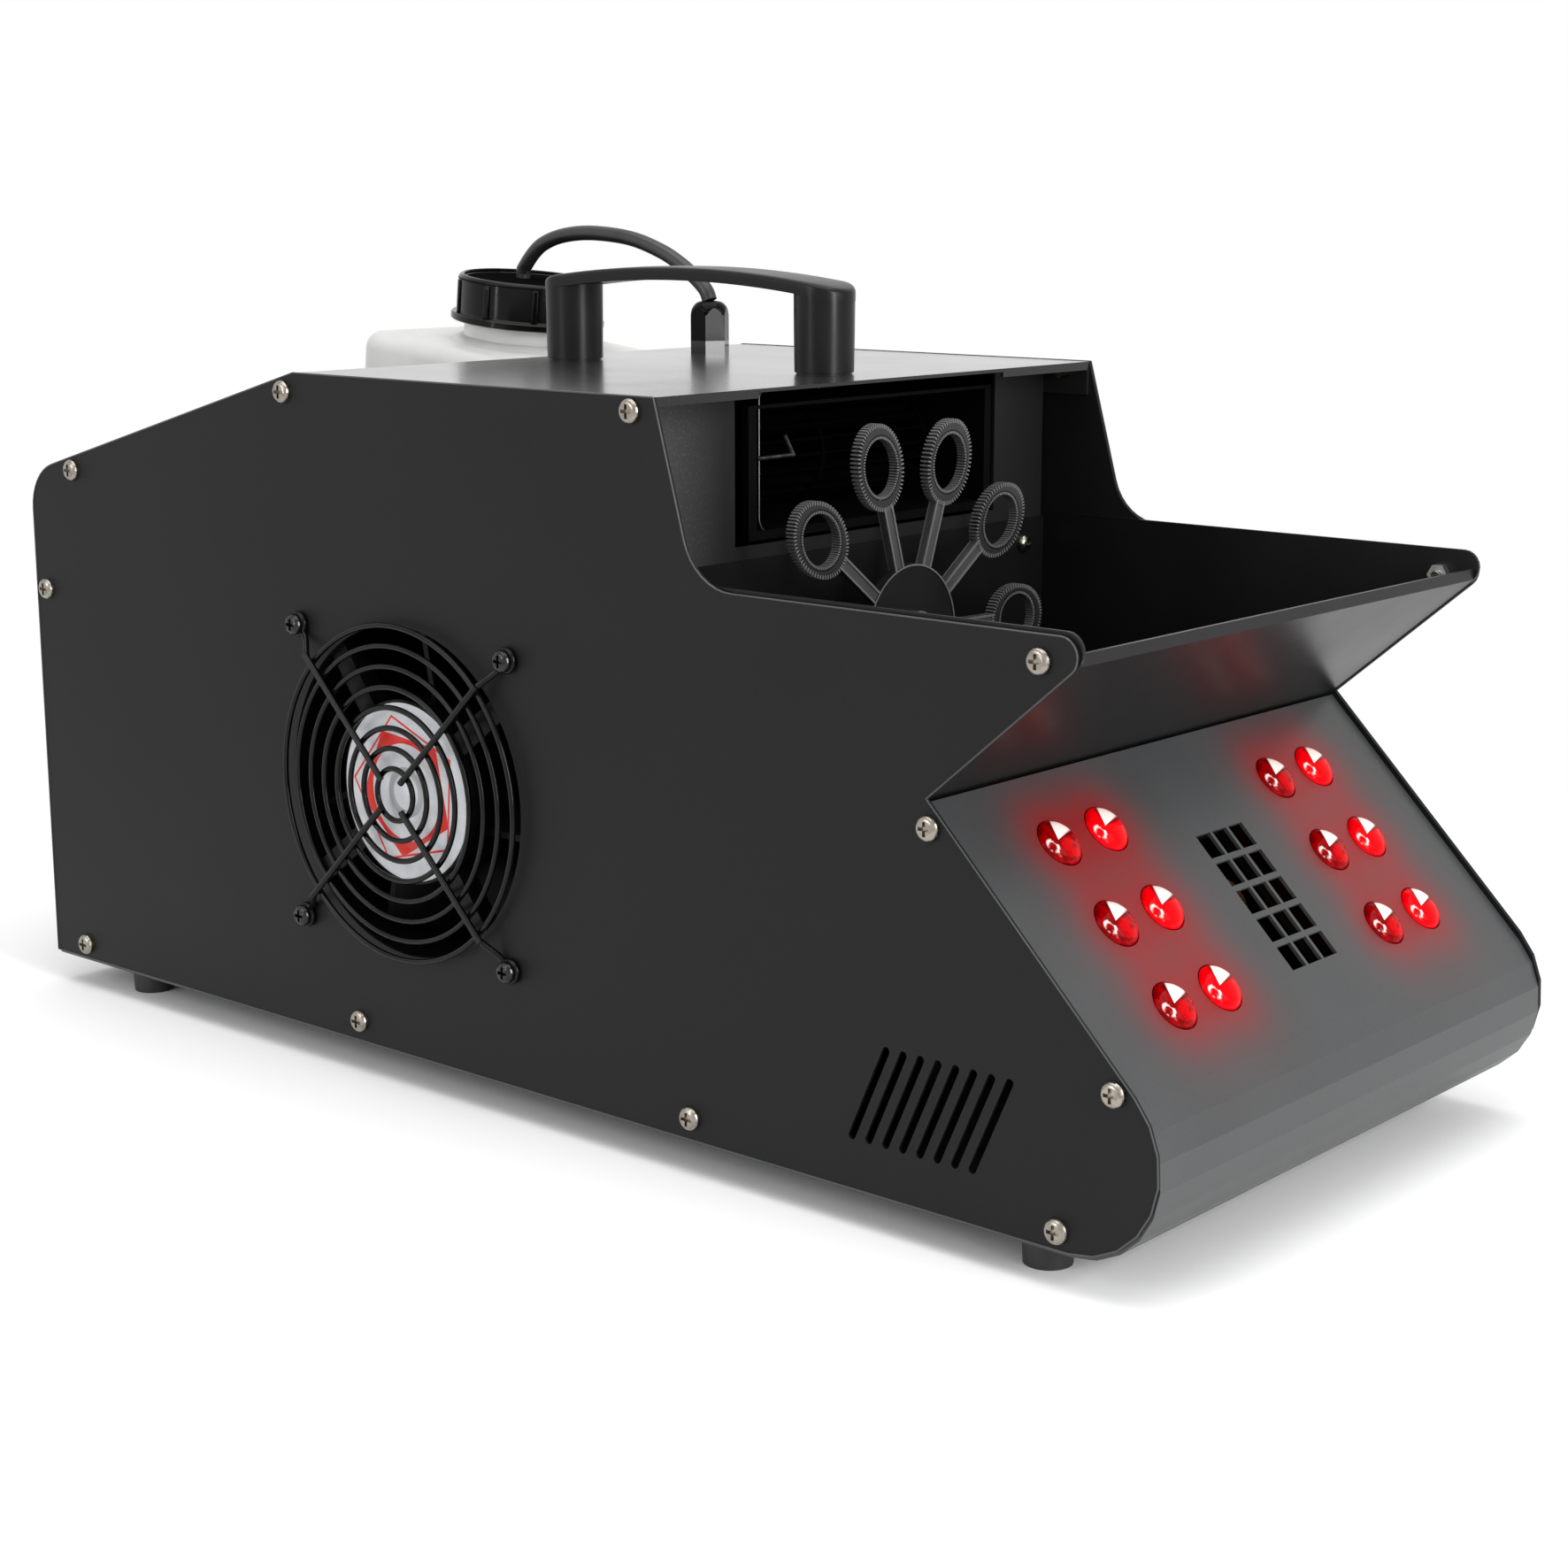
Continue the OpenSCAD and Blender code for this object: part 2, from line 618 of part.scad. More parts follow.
module led_board()
    color("#e8e8e4") {
        difference() {
            on_lamp(0, 0, -sheet - board_gap - board_t)
                translate([10, -led_board_y, 0]) cube([lamp_len - 12, 2 * led_board_y, board_t]);
            on_lamp(grille_s, grille_y, -sheet - board_gap - 5)
                translate([-grille_h / 2 - 3, -grille_w / 2 - 3, 0])
                    cube([grille_h + 6, grille_w + 6, 8]);
        }
        for (s = [15, lamp_len - 7], y = [-led_board_y + 5, led_board_y - 5])
            on_lamp(s, y, -sheet - board_gap) cylinder(r = 2.5, h = board_gap);
    }

// --- cooling fan ----------------------------------------------------------------------------
fan_at = [break_x + 51.2, 93.6];
fan_screw_d = 4;
fan_bore_r = fan_hole_r;
fan_back = -in_y + fan_depth;
hub_depth = 9;
blade_r = fan_bore_r - 1.5;
module in_fan_frame() translate([fan_at.x, 0, fan_at.y]) rotate([0, -fan_turn, 0]) children();
module fan_corners()
    for (x = [-1, 1], z = [-1, 1]) translate([x * fan_pitch / 2, 0, z * fan_pitch / 2]) children();
module fan_frame()
    color("#1b1c1d") in_fan_frame() difference() {
        union() {
            difference() {
                union() {
                    for (y = [-in_y, fan_back - 5])
                        box([-fan_size / 2, fan_size / 2], [y, y + 5], [-fan_size / 2, fan_size / 2]);
                    bar_y(-in_y + 1, fan_back - 1, fan_bore_r + 2);
                }
                bar_y(-in_y - 1, fan_back + 1, fan_bore_r);
            }
            bar_y(-in_y, -in_y + hub_depth, hub_r);
            for (a = [0 : 90 : 270]) rotate([0, a + 52, 0])
                box([hub_r - 2, fan_bore_r + 1], [-in_y + 1, -in_y + hub_depth - 1], [-4, 4]);
        }
        bar_y(-in_y + 2, -in_y + hub_depth + 1, 2.5 + run_gap);
        fan_corners() bar_y(-in_y - 1, fan_back + 1, fan_screw_d / 2 + screw_gap);
    }
module fan_rotor()
    color("#0f0f10") in_fan_frame() {
        bar_y(-in_y + 2.5, -in_y + hub_depth + 2, 2.5);
        bar_y(-in_y + hub_depth + 0.6, fan_back - 2, hub_r - 1);
        intersection() {
            difference() {
                bar_y(-in_y + hub_depth + 1, fan_back - 1, blade_r);
                bar_y(-in_y, fan_back, hub_r - 1.5);
            }
            for (i = [0 : fan_blades - 1]) rotate([0, i * 360 / fan_blades, 0])
                translate([0, (-in_y + hub_depth + fan_back) / 2, 0]) rotate([38, 0, 0])
                    translate([hub_r - 4, -20, -0.9]) cube([blade_r, 40, 1.8]);
        }
    }
module fan_label()
    color("#d8d9db") in_fan_frame() bar_y(-in_y - 0.3, -in_y, hub_r - 1);
guard_r = guard_pitch * guard_rings + 2;
leg_y = -half_w - guard_rise - ring_wire - leg_wire + 0.3;
loop_y = -half_w - leg_wire;
loop_r = fan_screw_d / 2 + leg_wire + 0.2;
screw_reach = fan_pitch / sqrt(2);
// Sides of the wires in the guard
wire_sides = 8;
// Wire from a to b in the plane of a leg, where x runs out from the middle
module wire(a, b, r) {
    rise = b - a;
    translate(a) rotate([0, 0, atan2(rise.y, rise.x)]) rotate([0, 90, 0])
        cylinder(r = r, h = norm(rise), $fn = wire_sides);
}
// Ring of wire round Y
module wire_ring(r, wire_r)
    rotate([90, 0, 0]) rotate_extrude() translate([r, 0]) circle(wire_r, $fn = wire_sides);
module fan_guard()
    color("#141415") in_fan_frame() {
        for (i = [0 : guard_rings - 1])
            translate([0, -half_w - guard_rise, 0]) wire_ring(guard_r - i * guard_pitch, ring_wire);
        for (a = [45 : 90 : 315]) rotate([0, a, 0]) {
            inner = [guard_r - (guard_rings - 1) * guard_pitch - 2, leg_y, 0];
            bend = [guard_r + 3, leg_y, 0];
            foot = [screw_reach - loop_r - 0.9, loop_y, 0];
            wire(inner, bend + [0.4, 0, 0], leg_wire);
            wire(bend - 0.4 * unit(foot - bend), foot, leg_wire);
            translate([screw_reach, loop_y, 0]) wire_ring(loop_r, leg_wire);
        }
    }
guard_head_y = -half_w - 2 * leg_wire - 0.02;
module guard_screws()
    color("#18191a") in_fan_frame() fan_corners() translate([0, guard_head_y, 0])
        rotate([90, 0, 0]) pan_screw(7.6, 2.6, fan_screw_d, 12);
module fan_nuts()
    color("#9a9a98") in_fan_frame() fan_corners() translate([0, -in_y + 8.2, 0])
        rotate([90, 0, 0]) hex_nut(7, 3.2, fan_screw_d);

// --- blower and bulkhead --------------------------------------------------------------------
bulk_front = brow_x - 19.5;
bulk_back = bulk_front - sheet;
bulk_bottom = 66;
window_y = [-57, 83.5];
window_z = [180.4, 230.4];
wheel_z = tray_floor + sheet + wheel_rise;
blower_in_r = blower_r + blower_gap;
blower_at = [bulk_back - 41, case_h - sheet - 5.8 - 2 * sheet - blower_in_r + 0.6];
blower_y = [-45, -45 + blower_len + 8];
duct_z = [blower_at.y - blower_in_r, blower_at.y + blower_in_r];
module bulkhead()
    color("#303132") difference() {
        union() {
            box([bulk_back, bulk_front], [-in_y + sheet, in_y - sheet], [bulk_bottom, case_h - sheet]);
            both_sides()
                box([bulk_back - flange_w, bulk_back + 0.01], [-in_y + sheet, -in_y + 2 * sheet],
                    [bulk_bottom, case_h - sheet]);
        }
        box([bulk_back - 1, bulk_front + 1], window_y, window_z);
        translate([0, 0, wheel_z]) bar_x(bulk_back - 1, bulk_front + 1, wheel_shaft_d / 2 + 1);
        for (y = [-1, 1]) translate([0, y * tray_screw.x, tray_screw.y])
            bar_x(bulk_back - 1, bulk_front + 1, shank_d / 2 + screw_gap);
    }
module blower_profile(r, back) {
    circle(r);
    translate([0, -r]) square([back, 2 * r]);
}
module blower_housing()
    color("#232425") difference() {
        union() {
            across(blower_y[0] - sheet, blower_y[1] + sheet) translate(blower_at)
                blower_profile(blower_in_r + sheet, bulk_back - blower_at.x);
            box([bulk_back - 3, bulk_back], [blower_y[0] - 4, blower_y[1] + 4],
                [duct_z[0] - 3, duct_z[1] + sheet]);
        }
        across(blower_y[0], blower_y[1]) translate(blower_at)
            blower_profile(blower_in_r, bulk_back - blower_at.x + 1);
        for (k = [0 : 2]) {
            w = (blower_y[1] - blower_y[0] - 16) / 3;
            box([blower_at.x - blower_in_r - 3, blower_at.x - 6],
                [blower_y[0] + 4 + k * (w + 4), blower_y[0] + 4 + k * (w + 4) + w],
                [blower_at.y - blower_in_r * 0.2, blower_at.y + blower_in_r * 0.85]);
        }
        translate([blower_at.x, 0, blower_at.y])
            bar_y(blower_y[0] - sheet - 1, blower_y[1] + sheet + 1, 3 + run_gap);
    }
module blower_rotor()
    color("#8d8f92") translate([blower_at.x, 0, blower_at.y]) {
        bar_y(blower_y[0] - 6, blower_y[1] + sheet + 3, 3);
        for (k = [0 : 2]) {
            y = blower_y[0] + 4 + k * (blower_len - 1.5) / 2;
            bar_y(y, y + 1.5, blower_r);
        }
        for (i = [0 : blower_blades - 1]) rotate([0, i * 360 / blower_blades, 0])
            box([blower_r - 5, blower_r - 0.4], [blower_y[0] + 4, blower_y[0] + 4 + blower_len],
                [-0.5, 0.5]);
    }
module blower_motor()
    color("#77797c") translate([blower_at.x, 0, blower_at.y]) difference() {
        union() {
            bar_y(blower_y[0] - sheet - 4, blower_y[0] - sheet, 10);
            bar_y(blower_y[0] - sheet - 38, blower_y[0] - sheet - 3.9, 18);
        }
        bar_y(blower_y[0] - sheet - 8, blower_y[0], 3 + run_gap);
    }
hook_z = 208.5;
hook_len = 18.3;
module wire_hook()
    color("#3a3b3c") translate([bulk_back, 0, hook_z]) {
        bar_y(blower_y[0], blower_y[0] + hook_len, 0.8);
        translate([0, blower_y[0] + hook_len, 0]) sphere(0.85, $fn = 24);
        translate([0, blower_y[0] + hook_len, 0]) rotate([33, 0, 0]) cylinder(r = 0.8, h = 8.2, $fn = 16);
    }

// --- bubble tray and wheel ------------------------------------------------------------------
tray_inset = 0.3;
rim_rise = 1.3;
tray_back = bulk_front;
lip_x = recess_x + 51;
lip_top = rim_h - 4.7;
// Height of the tray's front wall above a place along the case
function tray_wall_z(x) = recess_h + (x - recess_x) * tan(nose_angle) + tray_inset / cos(nose_angle);
tray_foot_x = recess_x
    - (recess_h - tray_floor + tray_inset / cos(nose_angle)) / tan(nose_angle);
tray_nose_x = recess_x
    + (rim_h + rim_rise - recess_h - tray_inset / cos(nose_angle)) / tan(nose_angle);
TRAY = [[tray_back, rim_h - 0.5, 0], [tray_back, tray_floor, 3], [tray_foot_x, tray_floor, 6],
    [lip_x, tray_wall_z(lip_x), 0], [lip_x, lip_top, 0]];
CHEEK = [[tray_back, tray_floor, 0], [tray_foot_x, tray_floor, 6],
    [tray_nose_x, rim_h + rim_rise, nose_round], [tray_back, rim_h + rim_rise, 0]];
tray_screw = [in_y - 14, rim_h - 9.5];
module bubble_tray()
    color("#202122") difference() {
        union() {
            across(-in_y, in_y) strip(TRAY, 0, sheet);
            both_sides() across(-in_y, -in_y + sheet) outline(CHEEK);
        }
        screw_holes(10, 10);
        translate([0, 0, wheel_z])
            bar_x(tray_back - 1, tray_back + 4, wheel_shaft_d / 2 + run_gap + 0.2);
        for (y = [-1, 1]) translate([0, y * tray_screw.x, tray_screw.y])
            bar_x(tray_back - 1, tray_back + 4, shank_d / 2 + screw_gap);
    }
wheel_x = tray_back + sheet + wheel_out;
wheel_phase = -1.2;
module oval(l, w) polygon([for (a = [0 : 12 : 348]) [l / 2 * cos(a), w / 2 * sin(a)]]);
module wand_wheel()
    color("#151516") translate([wheel_x, 0, wheel_z]) difference() {
        union() {
            along(-wand_t / 2, wand_t / 2) difference() {
                union() {
                    circle(wand_hub_r);
                    for (i = [0 : wand_count - 1]) rotate(i * 360 / wand_count + wheel_phase) {
                        translate([wand_reach, 0]) oval(wand_l, wand_w);
                        translate([wand_hub_r - 3, -2.4])
                            square([wand_reach - wand_l / 2 - wand_hub_r + 5, 4.8]);
                    }
                }
                for (i = [0 : wand_count - 1]) rotate(i * 360 / wand_count + wheel_phase)
                    translate([wand_reach, 0]) oval(wand_l - 2 * wand_end, wand_w - 2 * wand_rim);
            }
            bar_x(-12, wand_t / 2 + 3, 8);
        }
        bar_x(-13, wand_t / 2 + 4, wheel_shaft_d / 2 + run_gap);
    }
module wheel_shaft()
    color("#a5a7a9") translate([0, 0, wheel_z])
        bar_x(bulk_back - 8, wheel_x + wand_t / 2 + 0.8, wheel_shaft_d / 2);
module gear_motor()
    color("#8a8c8f") translate([0, 0, wheel_z]) difference() {
        union() {
            bar_x(bulk_back - 22, bulk_back, 18.5);
            bar_x(bulk_back - 52, bulk_back - 21.9, 16.5);
        }
        bar_x(bulk_back - 9, bulk_back + 1, wheel_shaft_d / 2 + run_gap);
    }
module tray_screws()
    color("#b9b3a6") for (y = [-1, 1])
        translate([tray_back + sheet, y * tray_screw.x, tray_screw.y])
            rotate([0, 90, 0]) pan_screw(head_d - 1, head_h + 0.4, shank_d, 6);

// --- heater, pump and power -----------------------------------------------------------------
heater_x = [-30, 112];
heater_z = [22, 48];
heater_y = [grille_y - 24, grille_y + 24];
jacket_gap = 5;
module heater_block()
    color("#a3a4a6") box(heater_x, heater_y, heater_z);
module heater_jacket()
    color("#b7b8b9") {
        x = [heater_x[0] - jacket_gap, heater_x[1] + jacket_gap];
        y = [heater_y[0] - jacket_gap, heater_y[1] + jacket_gap];
        z = [heater_z[0] - jacket_gap, heater_z[1] + jacket_gap];
        difference() {
            box([x[0] - 1, x[1] + 1], [y[0] - 1, y[1] + 1], [z[0] - 1, z[1] + 1]);
            box(x, y, z);
            nozzle_line(-14, 30, nozzle_r + 0.6);
            translate([heater_x[0] - 8, feed_y, heater_mid]) rotate([0, 90, 0])
                cylinder(r = 3.6, h = 6);
        }
        for (px = [heater_x[0] + 15, heater_x[1] - 15], py = [heater_y[0] + 10, heater_y[1] - 10])
            translate([px, py, z[0] - 0.01]) cylinder(r = 4, h = jacket_gap + 0.01);
    }
module heater_stands()
    color("#8f9092")
        for (px = [heater_x[0] + 10, heater_x[1] - 22])
            box([px, px + 12], heater_y, [floor_z, heater_z[0] - jacket_gap - 1]);
module thermostats()
    color("#3b3c3e")
        for (px = [heater_x[0] + 40, heater_x[0] + 78])
            translate([px, grille_y, heater_z[1]]) cylinder(r = 7, h = jacket_gap - 0.4);
heater_mid = (heater_z[0] + heater_z[1]) / 2;
feed_y = grille_y;
nozzle_r = 6;
nozzle_from = [heater_x[1], heater_mid + 4];
nozzle_to = lamp_top + grille_s * lamp_t - (sheet + 7) * lamp_n;
nozzle_turn = atan2(nozzle_to.y - nozzle_from.y, nozzle_to.x - nozzle_from.x);
nozzle_len = norm(nozzle_to - nozzle_from);
// A round bar along the nozzle's line, from a to b past the heater's front face
module nozzle_line(a, b, r)
    translate([nozzle_from.x, grille_y, nozzle_from.y]) rotate([0, 90 - nozzle_turn, 0])
        translate([0, 0, a]) cylinder(r = r, h = b - a);
module fog_nozzle()
    color("#b08d4a") difference() {
        union() {
            nozzle_line(2.6, nozzle_len - 22, nozzle_r);
            translate([nozzle_from.x, grille_y, nozzle_from.y]) rotate([0, 90 - nozzle_turn, 0])
                translate([0, 0, nozzle_len - 22.01]) cylinder(r1 = nozzle_r, r2 = nozzle_r + 5, h = 14);
            box([heater_x[1], heater_x[1] + 3], [grille_y - 9, grille_y + 9],
                [nozzle_from.y - 8, nozzle_from.y + 9]);
        }
        nozzle_line(3.4, nozzle_len, 2.4);
        translate([nozzle_from.x, grille_y, nozzle_from.y]) rotate([0, 90 - nozzle_turn, 0])
            translate([0, 0, nozzle_len - 20]) cylinder(r1 = 2.4, r2 = nozzle_r + 4, h = 14);
    }
pump_x = [-130, -72];
pump_at = [-12, 24];
plunger_r = 5;
plunger_travel = 3;
module pump_body()
    color("#4b4d50") difference() {
        union() {
            translate([0, pump_at.x, pump_at.y]) bar_x(pump_x[0], pump_x[1], 17);
            for (x = [pump_x[0] + 6, pump_x[1] - 16])
                box([x, x + 10], [pump_at.x - 14, pump_at.x + 14], [floor_z, pump_at.y]);
            translate([0, pump_at.x, pump_at.y]) bar_x(pump_x[0] - 8, pump_x[0] + 1, 4);
            translate([0, pump_at.x, pump_at.y]) bar_x(pump_x[1] - 1, pump_x[1] + 8, 3);
        }
        translate([0, pump_at.x, pump_at.y])
            bar_x(pump_x[0] + 6, pump_x[1] - 6, plunger_r + run_gap);
    }
module pump_plunger()
    color("#c2c4c6") translate([0, pump_at.x, pump_at.y])
        bar_x(pump_x[0] + 6.2, pump_x[1] - 6.2 - plunger_travel, plunger_r);
module tube(path, r, sides) {
    rings = [for (i = [0 : len(path) - 1])
        let (t = unit(path[min(i + 1, len(path) - 1)] - path[max(i - 1, 0)]),
             up = abs(t.z) > 0.9 ? [0, 1, 0] : [0, 0, 1], u = unit(cross(t, up)), v = cross(t, u))
        for (k = [0 : sides - 1])
            path[i] + r * (u * cos(360 * k / sides) + v * sin(360 * k / sides))];
    n = len(path);
    polyhedron(points = rings, faces = concat(
        [[for (k = [0 : sides - 1]) k]],
        [[for (k = [sides - 1 : -1 : 0]) (n - 1) * sides + k]],
        [for (i = [0 : n - 2], k = [0 : sides - 1])
            let (j = (k + 1) % sides)
            [i * sides + k, (i + 1) * sides + k, (i + 1) * sides + j, i * sides + j]]));
}
// A smooth curve through the route's points, with steps points in each stretch
function curve(p, steps) = concat([for (i = [0 : len(p) - 2], k = [0 : steps - 1])
    let (t = k / steps, a = p[max(i - 1, 0)], b = p[i], c = p[i + 1],
         d = p[min(i + 2, len(p) - 1)])
    0.5 * (2 * b + (c - a) * t + (2 * a - 5 * b + 4 * c - d) * t * t
           + (3 * b - a - 3 * c + d) * t * t * t)], [p[len(p) - 1]]);
FEED_ROUTE = [[pump_x[1] + 8.3, pump_at.x, pump_at.y], [-58, -11, 24.5], [-51, -5, 28.5],
    [-45, 2, 33], [heater_x[0] - 8, feed_y, heater_mid], [heater_x[0] - 0.3, feed_y, heater_mid]];
module feed_tube() color("#d9d9d2") tube(curve(FEED_ROUTE, 3), 2.5, 8);
INNER_ROUTE = [[gland_at.x, gland_at.y, case_h - sheet - 8.2], [gland_at.x, gland_at.y, 208],
    [-68, 62, 190], [-72, 66, 160], [-90, 66, 120], [-108, 56, 84], [-126, 44, 58], [-146, 26, 41],
    [-157, 6, 28], [-156, -8, 24.5], [-149, -12, 24], [pump_x[0] - 8.3, pump_at.x, pump_at.y]];
module inner_hose() color("#1b1b1c") tube(curve(INNER_ROUTE, 3), hose_d / 2, 8);
psu_x = [back_x + 27, back_x + 99];
psu_y = [10, 92];
module power_supply()
    color("#a9abad") {
        box(psu_x, psu_y, [floor_z, 36]);
        for (i = [0 : 5])
            box([psu_x[1] - 0.01, psu_x[1] + 9], [psu_y[0] + 8 + i * 12, psu_y[0] + 17 + i * 12],
                [10, 20]);
    }

// --- jug, bay and hose ----------------------------------------------------------------------
jug_at = [break_x - 81.2, 54];
bay_floor = case_h - 147;
neck_x = 3;
cap_bottom = jug_h + cap_lift;
cap_top = cap_bottom + cap_h;
cap_r = neck_r + 0.35 + cap_wall;
cap_flange = 2.9;
cap_flange_r = cap_r + 2.3;
hose_hole = [-9.5, 5.4];
module in_bay() translate([jug_at.x, jug_at.y, bay_floor]) rotate([0, jug_tilt, 0]) children();
module bay_room(z0, z1)
    translate([0, 0, z0]) linear_extrude(z1 - z0)
        square([jug_l + 2 * bay_gap, jug_w + 2 * bay_gap], center = true);
module tank_bay()
    color("#2a2b2c") intersection() {
        in_bay() difference() {
            translate([0, 0, -sheet]) linear_extrude(jug_h + 20)
                square([jug_l + 2 * (bay_gap + sheet), jug_w + 2 * (bay_gap + sheet)], center = true);
            bay_room(0, jug_h + 40);
        }
        across(-in_y, in_y) polygon(concat(smooth(shifted(COVER, sheet)),
            [[back_in, 40], [brow_x, 40]]));
    }
module rounded_plate(l, w, r, h)
    linear_extrude(h) union() {
        square([l - 2 * r, w], center = true);
        square([l, w - 2 * r], center = true);
        for (x = [-1, 1], y = [-1, 1]) translate([x * (l / 2 - r), y * (w / 2 - r)]) circle(r);
    }
jug_lift = 0.3;
jug_bevel = 5;
module jug()
    color("#dcdcda") in_bay() translate([0, 0, jug_lift]) difference() {
        union() {
            hull() {
                rounded_plate(jug_l - 2 * jug_bevel, jug_w - 2 * jug_bevel, jug_round, 1, $fn = 32);
                translate([0, 0, jug_bevel]) rounded_plate(jug_l, jug_w, jug_round, 1, $fn = 32);
            }
            translate([0, 0, jug_bevel]) rounded_plate(jug_l, jug_w, jug_round, jug_h - 2 * jug_bevel);
            hull() {
                translate([0, 0, jug_h - jug_bevel - 1])
                    rounded_plate(jug_l, jug_w, jug_round, 1, $fn = 32);
                translate([0, 0, jug_h - 1])
                    rounded_plate(jug_l - 2 * jug_bevel, jug_w - 2 * jug_bevel, jug_round, 1, $fn = 32);
            }
            translate([neck_x, 0, jug_h - 1])
                cylinder(r = neck_r, h = cap_top - 3.3 - jug_lift - jug_h + 1);
        }
        translate([0, 0, jug_bevel])
            rounded_plate(jug_l - 2 * jug_wall, jug_w - 2 * jug_wall, jug_round - jug_wall,
                jug_h - 2 * jug_bevel);
        translate([neck_x, 0, jug_bevel]) cylinder(r = neck_r - 2, h = jug_h + 60);
    }
module jug_cap()
    color("#0d0d0e") in_bay() translate([neck_x, 0, cap_bottom]) difference() {
        union() {
            cylinder(r1 = cap_r, r2 = cap_r - 0.7, h = cap_h);
            cylinder(r = cap_flange_r, h = cap_flange);
            for (i = [0 : cap_ribs - 1]) rotate(i * 360 / cap_ribs + 0.9)
                translate([cap_r - 2, -1.4, cap_flange - 0.01])
                    cube([2.7, 2.8, cap_h - cap_flange - 1.6]);
        }
        translate([0, 0, -1]) cylinder(r = neck_r + 0.35, h = cap_h - 2);
        translate(hose_hole) cylinder(r = hose_d / 2 + 0.1, h = cap_h + 1);
    }
module dip_tube()
    color("#1b1b1c") in_bay() translate([neck_x + hose_hole.x, hose_hole.y, 0]) {
        translate([0, 0, 14]) cylinder(r = hose_d / 2, h = cap_top - 14);
        translate([0, 0, 9]) cylinder(r = 7, h = 12);
    }
hose_run = neck_x + hose_hole.x;
hose_end = [jug_at.x + hose_run * cos(jug_tilt) + cap_top * sin(jug_tilt), jug_at.y + hose_hole.y,
    bay_floor - hose_run * sin(jug_tilt) + cap_top * cos(jug_tilt)];
jug_axis = [sin(jug_tilt), 0, cos(jug_tilt)];
HOSE_ROUTE = [[gland_at.x, gland_at.y, case_h + gland_top + 0.1], [-69.6, 60, 257.4], [-75.9, 60, 262.5],
    [-83.5, 60, 267.2], [-92.4, 60, 271.3], [-105.9, 60, 275.4], [-119.6, 60, 277.3],
    [-134.5, 60, 277.8], [-147.6, 59.8, 276.3], [-157.1, 59.6, 273.2], [-162.8, 59.4, 269.2],
    hose_end + 2 * jug_axis];
module suction_hose()
    color("#151516")
        tube(concat(curve(HOSE_ROUTE, 3), [hose_end + 0.2 * jug_axis]), hose_d / 2, 10);

// --- gland and handle -----------------------------------------------------------------------
gland_flat = gland_r * cos(30);
gland_dome = 4.6;
gland_thread = 10;
module gland_body()
    color("#161617") difference() {
        union() {
            translate([gland_at.x, gland_at.y, case_h]) cylinder(r = gland_r, h = 5, $fn = 6);
            translate([gland_at.x, gland_at.y, case_h - sheet - 8])
                cylinder(r = gland_hole_r, h = 8 + sheet + gland_thread);
            translate([gland_at.x, gland_at.y, case_h - sheet - 5])
                cylinder(r = gland_r + 1.4, h = 5, $fn = 6);
        }
        translate([gland_at.x, gland_at.y, case_h - 30]) cylinder(r = hose_d / 2 + 0.1, h = 60);
    }
module gland_nut()
    color("#161617") translate([gland_at.x, gland_at.y, case_h]) difference() {
        union() {
            translate([0, 0, 5]) cylinder(r = gland_r, h = gland_top - 5 - gland_dome, $fn = 6);
            translate([0, 0, gland_top - gland_dome - 0.01])
                rotate_extrude() polygon(concat([[0, 0]],
                    [for (a = [0 : 15 : 90]) [gland_flat - gland_dome * (1 - cos(a)),
                                              gland_dome * sin(a)]],
                    [[0, gland_dome]]));
        }
        translate([0, 0, 4]) cylinder(r = gland_hole_r + 0.1, h = gland_thread - 3.9 + 0.1);
        cylinder(r = hose_d / 2 + 0.1, h = 40);
    }
handle_screw_d = 5;
handle_top = case_h + handle_rise;
handle_sweep = ((handle_span / 2) ^ 2 + handle_fall ^ 2) / (2 * handle_fall);
module handle_arc(r)
    translate([handle_x, handle_top - handle_sweep]) circle(r, $fn = 360);
module handle()
    color("#1d1e1f") difference() {
        union() {
            for (x = HANDLE_LEGS) intersection() {
                translate([x, 0, case_h]) cylinder(d = handle_d, h = 60);
                across(-20, 20) handle_arc(handle_sweep);
            }
            intersection() {
                translate([0, 0, case_h]) linear_extrude(60) {
                    for (x = HANDLE_LEGS) translate([x, 0]) circle(d = handle_d);
                    translate([HANDLE_LEGS[0], -handle_d / 2]) square([handle_span, handle_d]);
                }
                across(-20, 20) difference() {
                    handle_arc(handle_sweep);
                    handle_arc(handle_sweep - handle_t);
                }
            }
        }
        for (x = HANDLE_LEGS) translate([x, 0, case_h - 1])
            cylinder(r = handle_screw_d / 2 + screw_gap, h = 16);
    }
module handle_screws()
    color("#8f9193") for (x = HANDLE_LEGS) translate([x, 0, case_h - sheet]) mirror([0, 0, 1])
        pan_screw(9.5, 3.6, handle_screw_d, 14 + sheet);

// --- feet and screws ------------------------------------------------------------------------
foot_screw_d = 4;
foot_nut = 7;
foot_h = stand_h - base_drop;
module feet()
    color("#131314") for (p = FEET) translate([p.x, p.y, -stand_h]) difference() {
        cylinder(r1 = foot_d / 2 - 0.5, r2 = foot_d / 2, h = foot_h);
        translate([0, 0, -1]) cylinder(r = 4.4, h = foot_h - 3);
        cylinder(r = foot_screw_d / 2 + screw_gap, h = foot_h + 1);
    }
module foot_screws()
    color("#8f9193") for (p = FEET) translate([p.x, p.y, 0]) {
        translate([0, 0, -base_drop - 4]) mirror([0, 0, 1]) pan_screw(7.6, 2.6, foot_screw_d, 10);
        translate([0, 0, floor_z]) hex_nut(foot_nut, 3.2, foot_screw_d);
    }
module panel_screws()
    color("#b9b3a6") both_sides()
        for (p = SCREWS) translate([p.x, -half_w, p.y]) rotate([90, 0, 0])
            pan_screw(head_d, head_h, shank_d, shank_len);
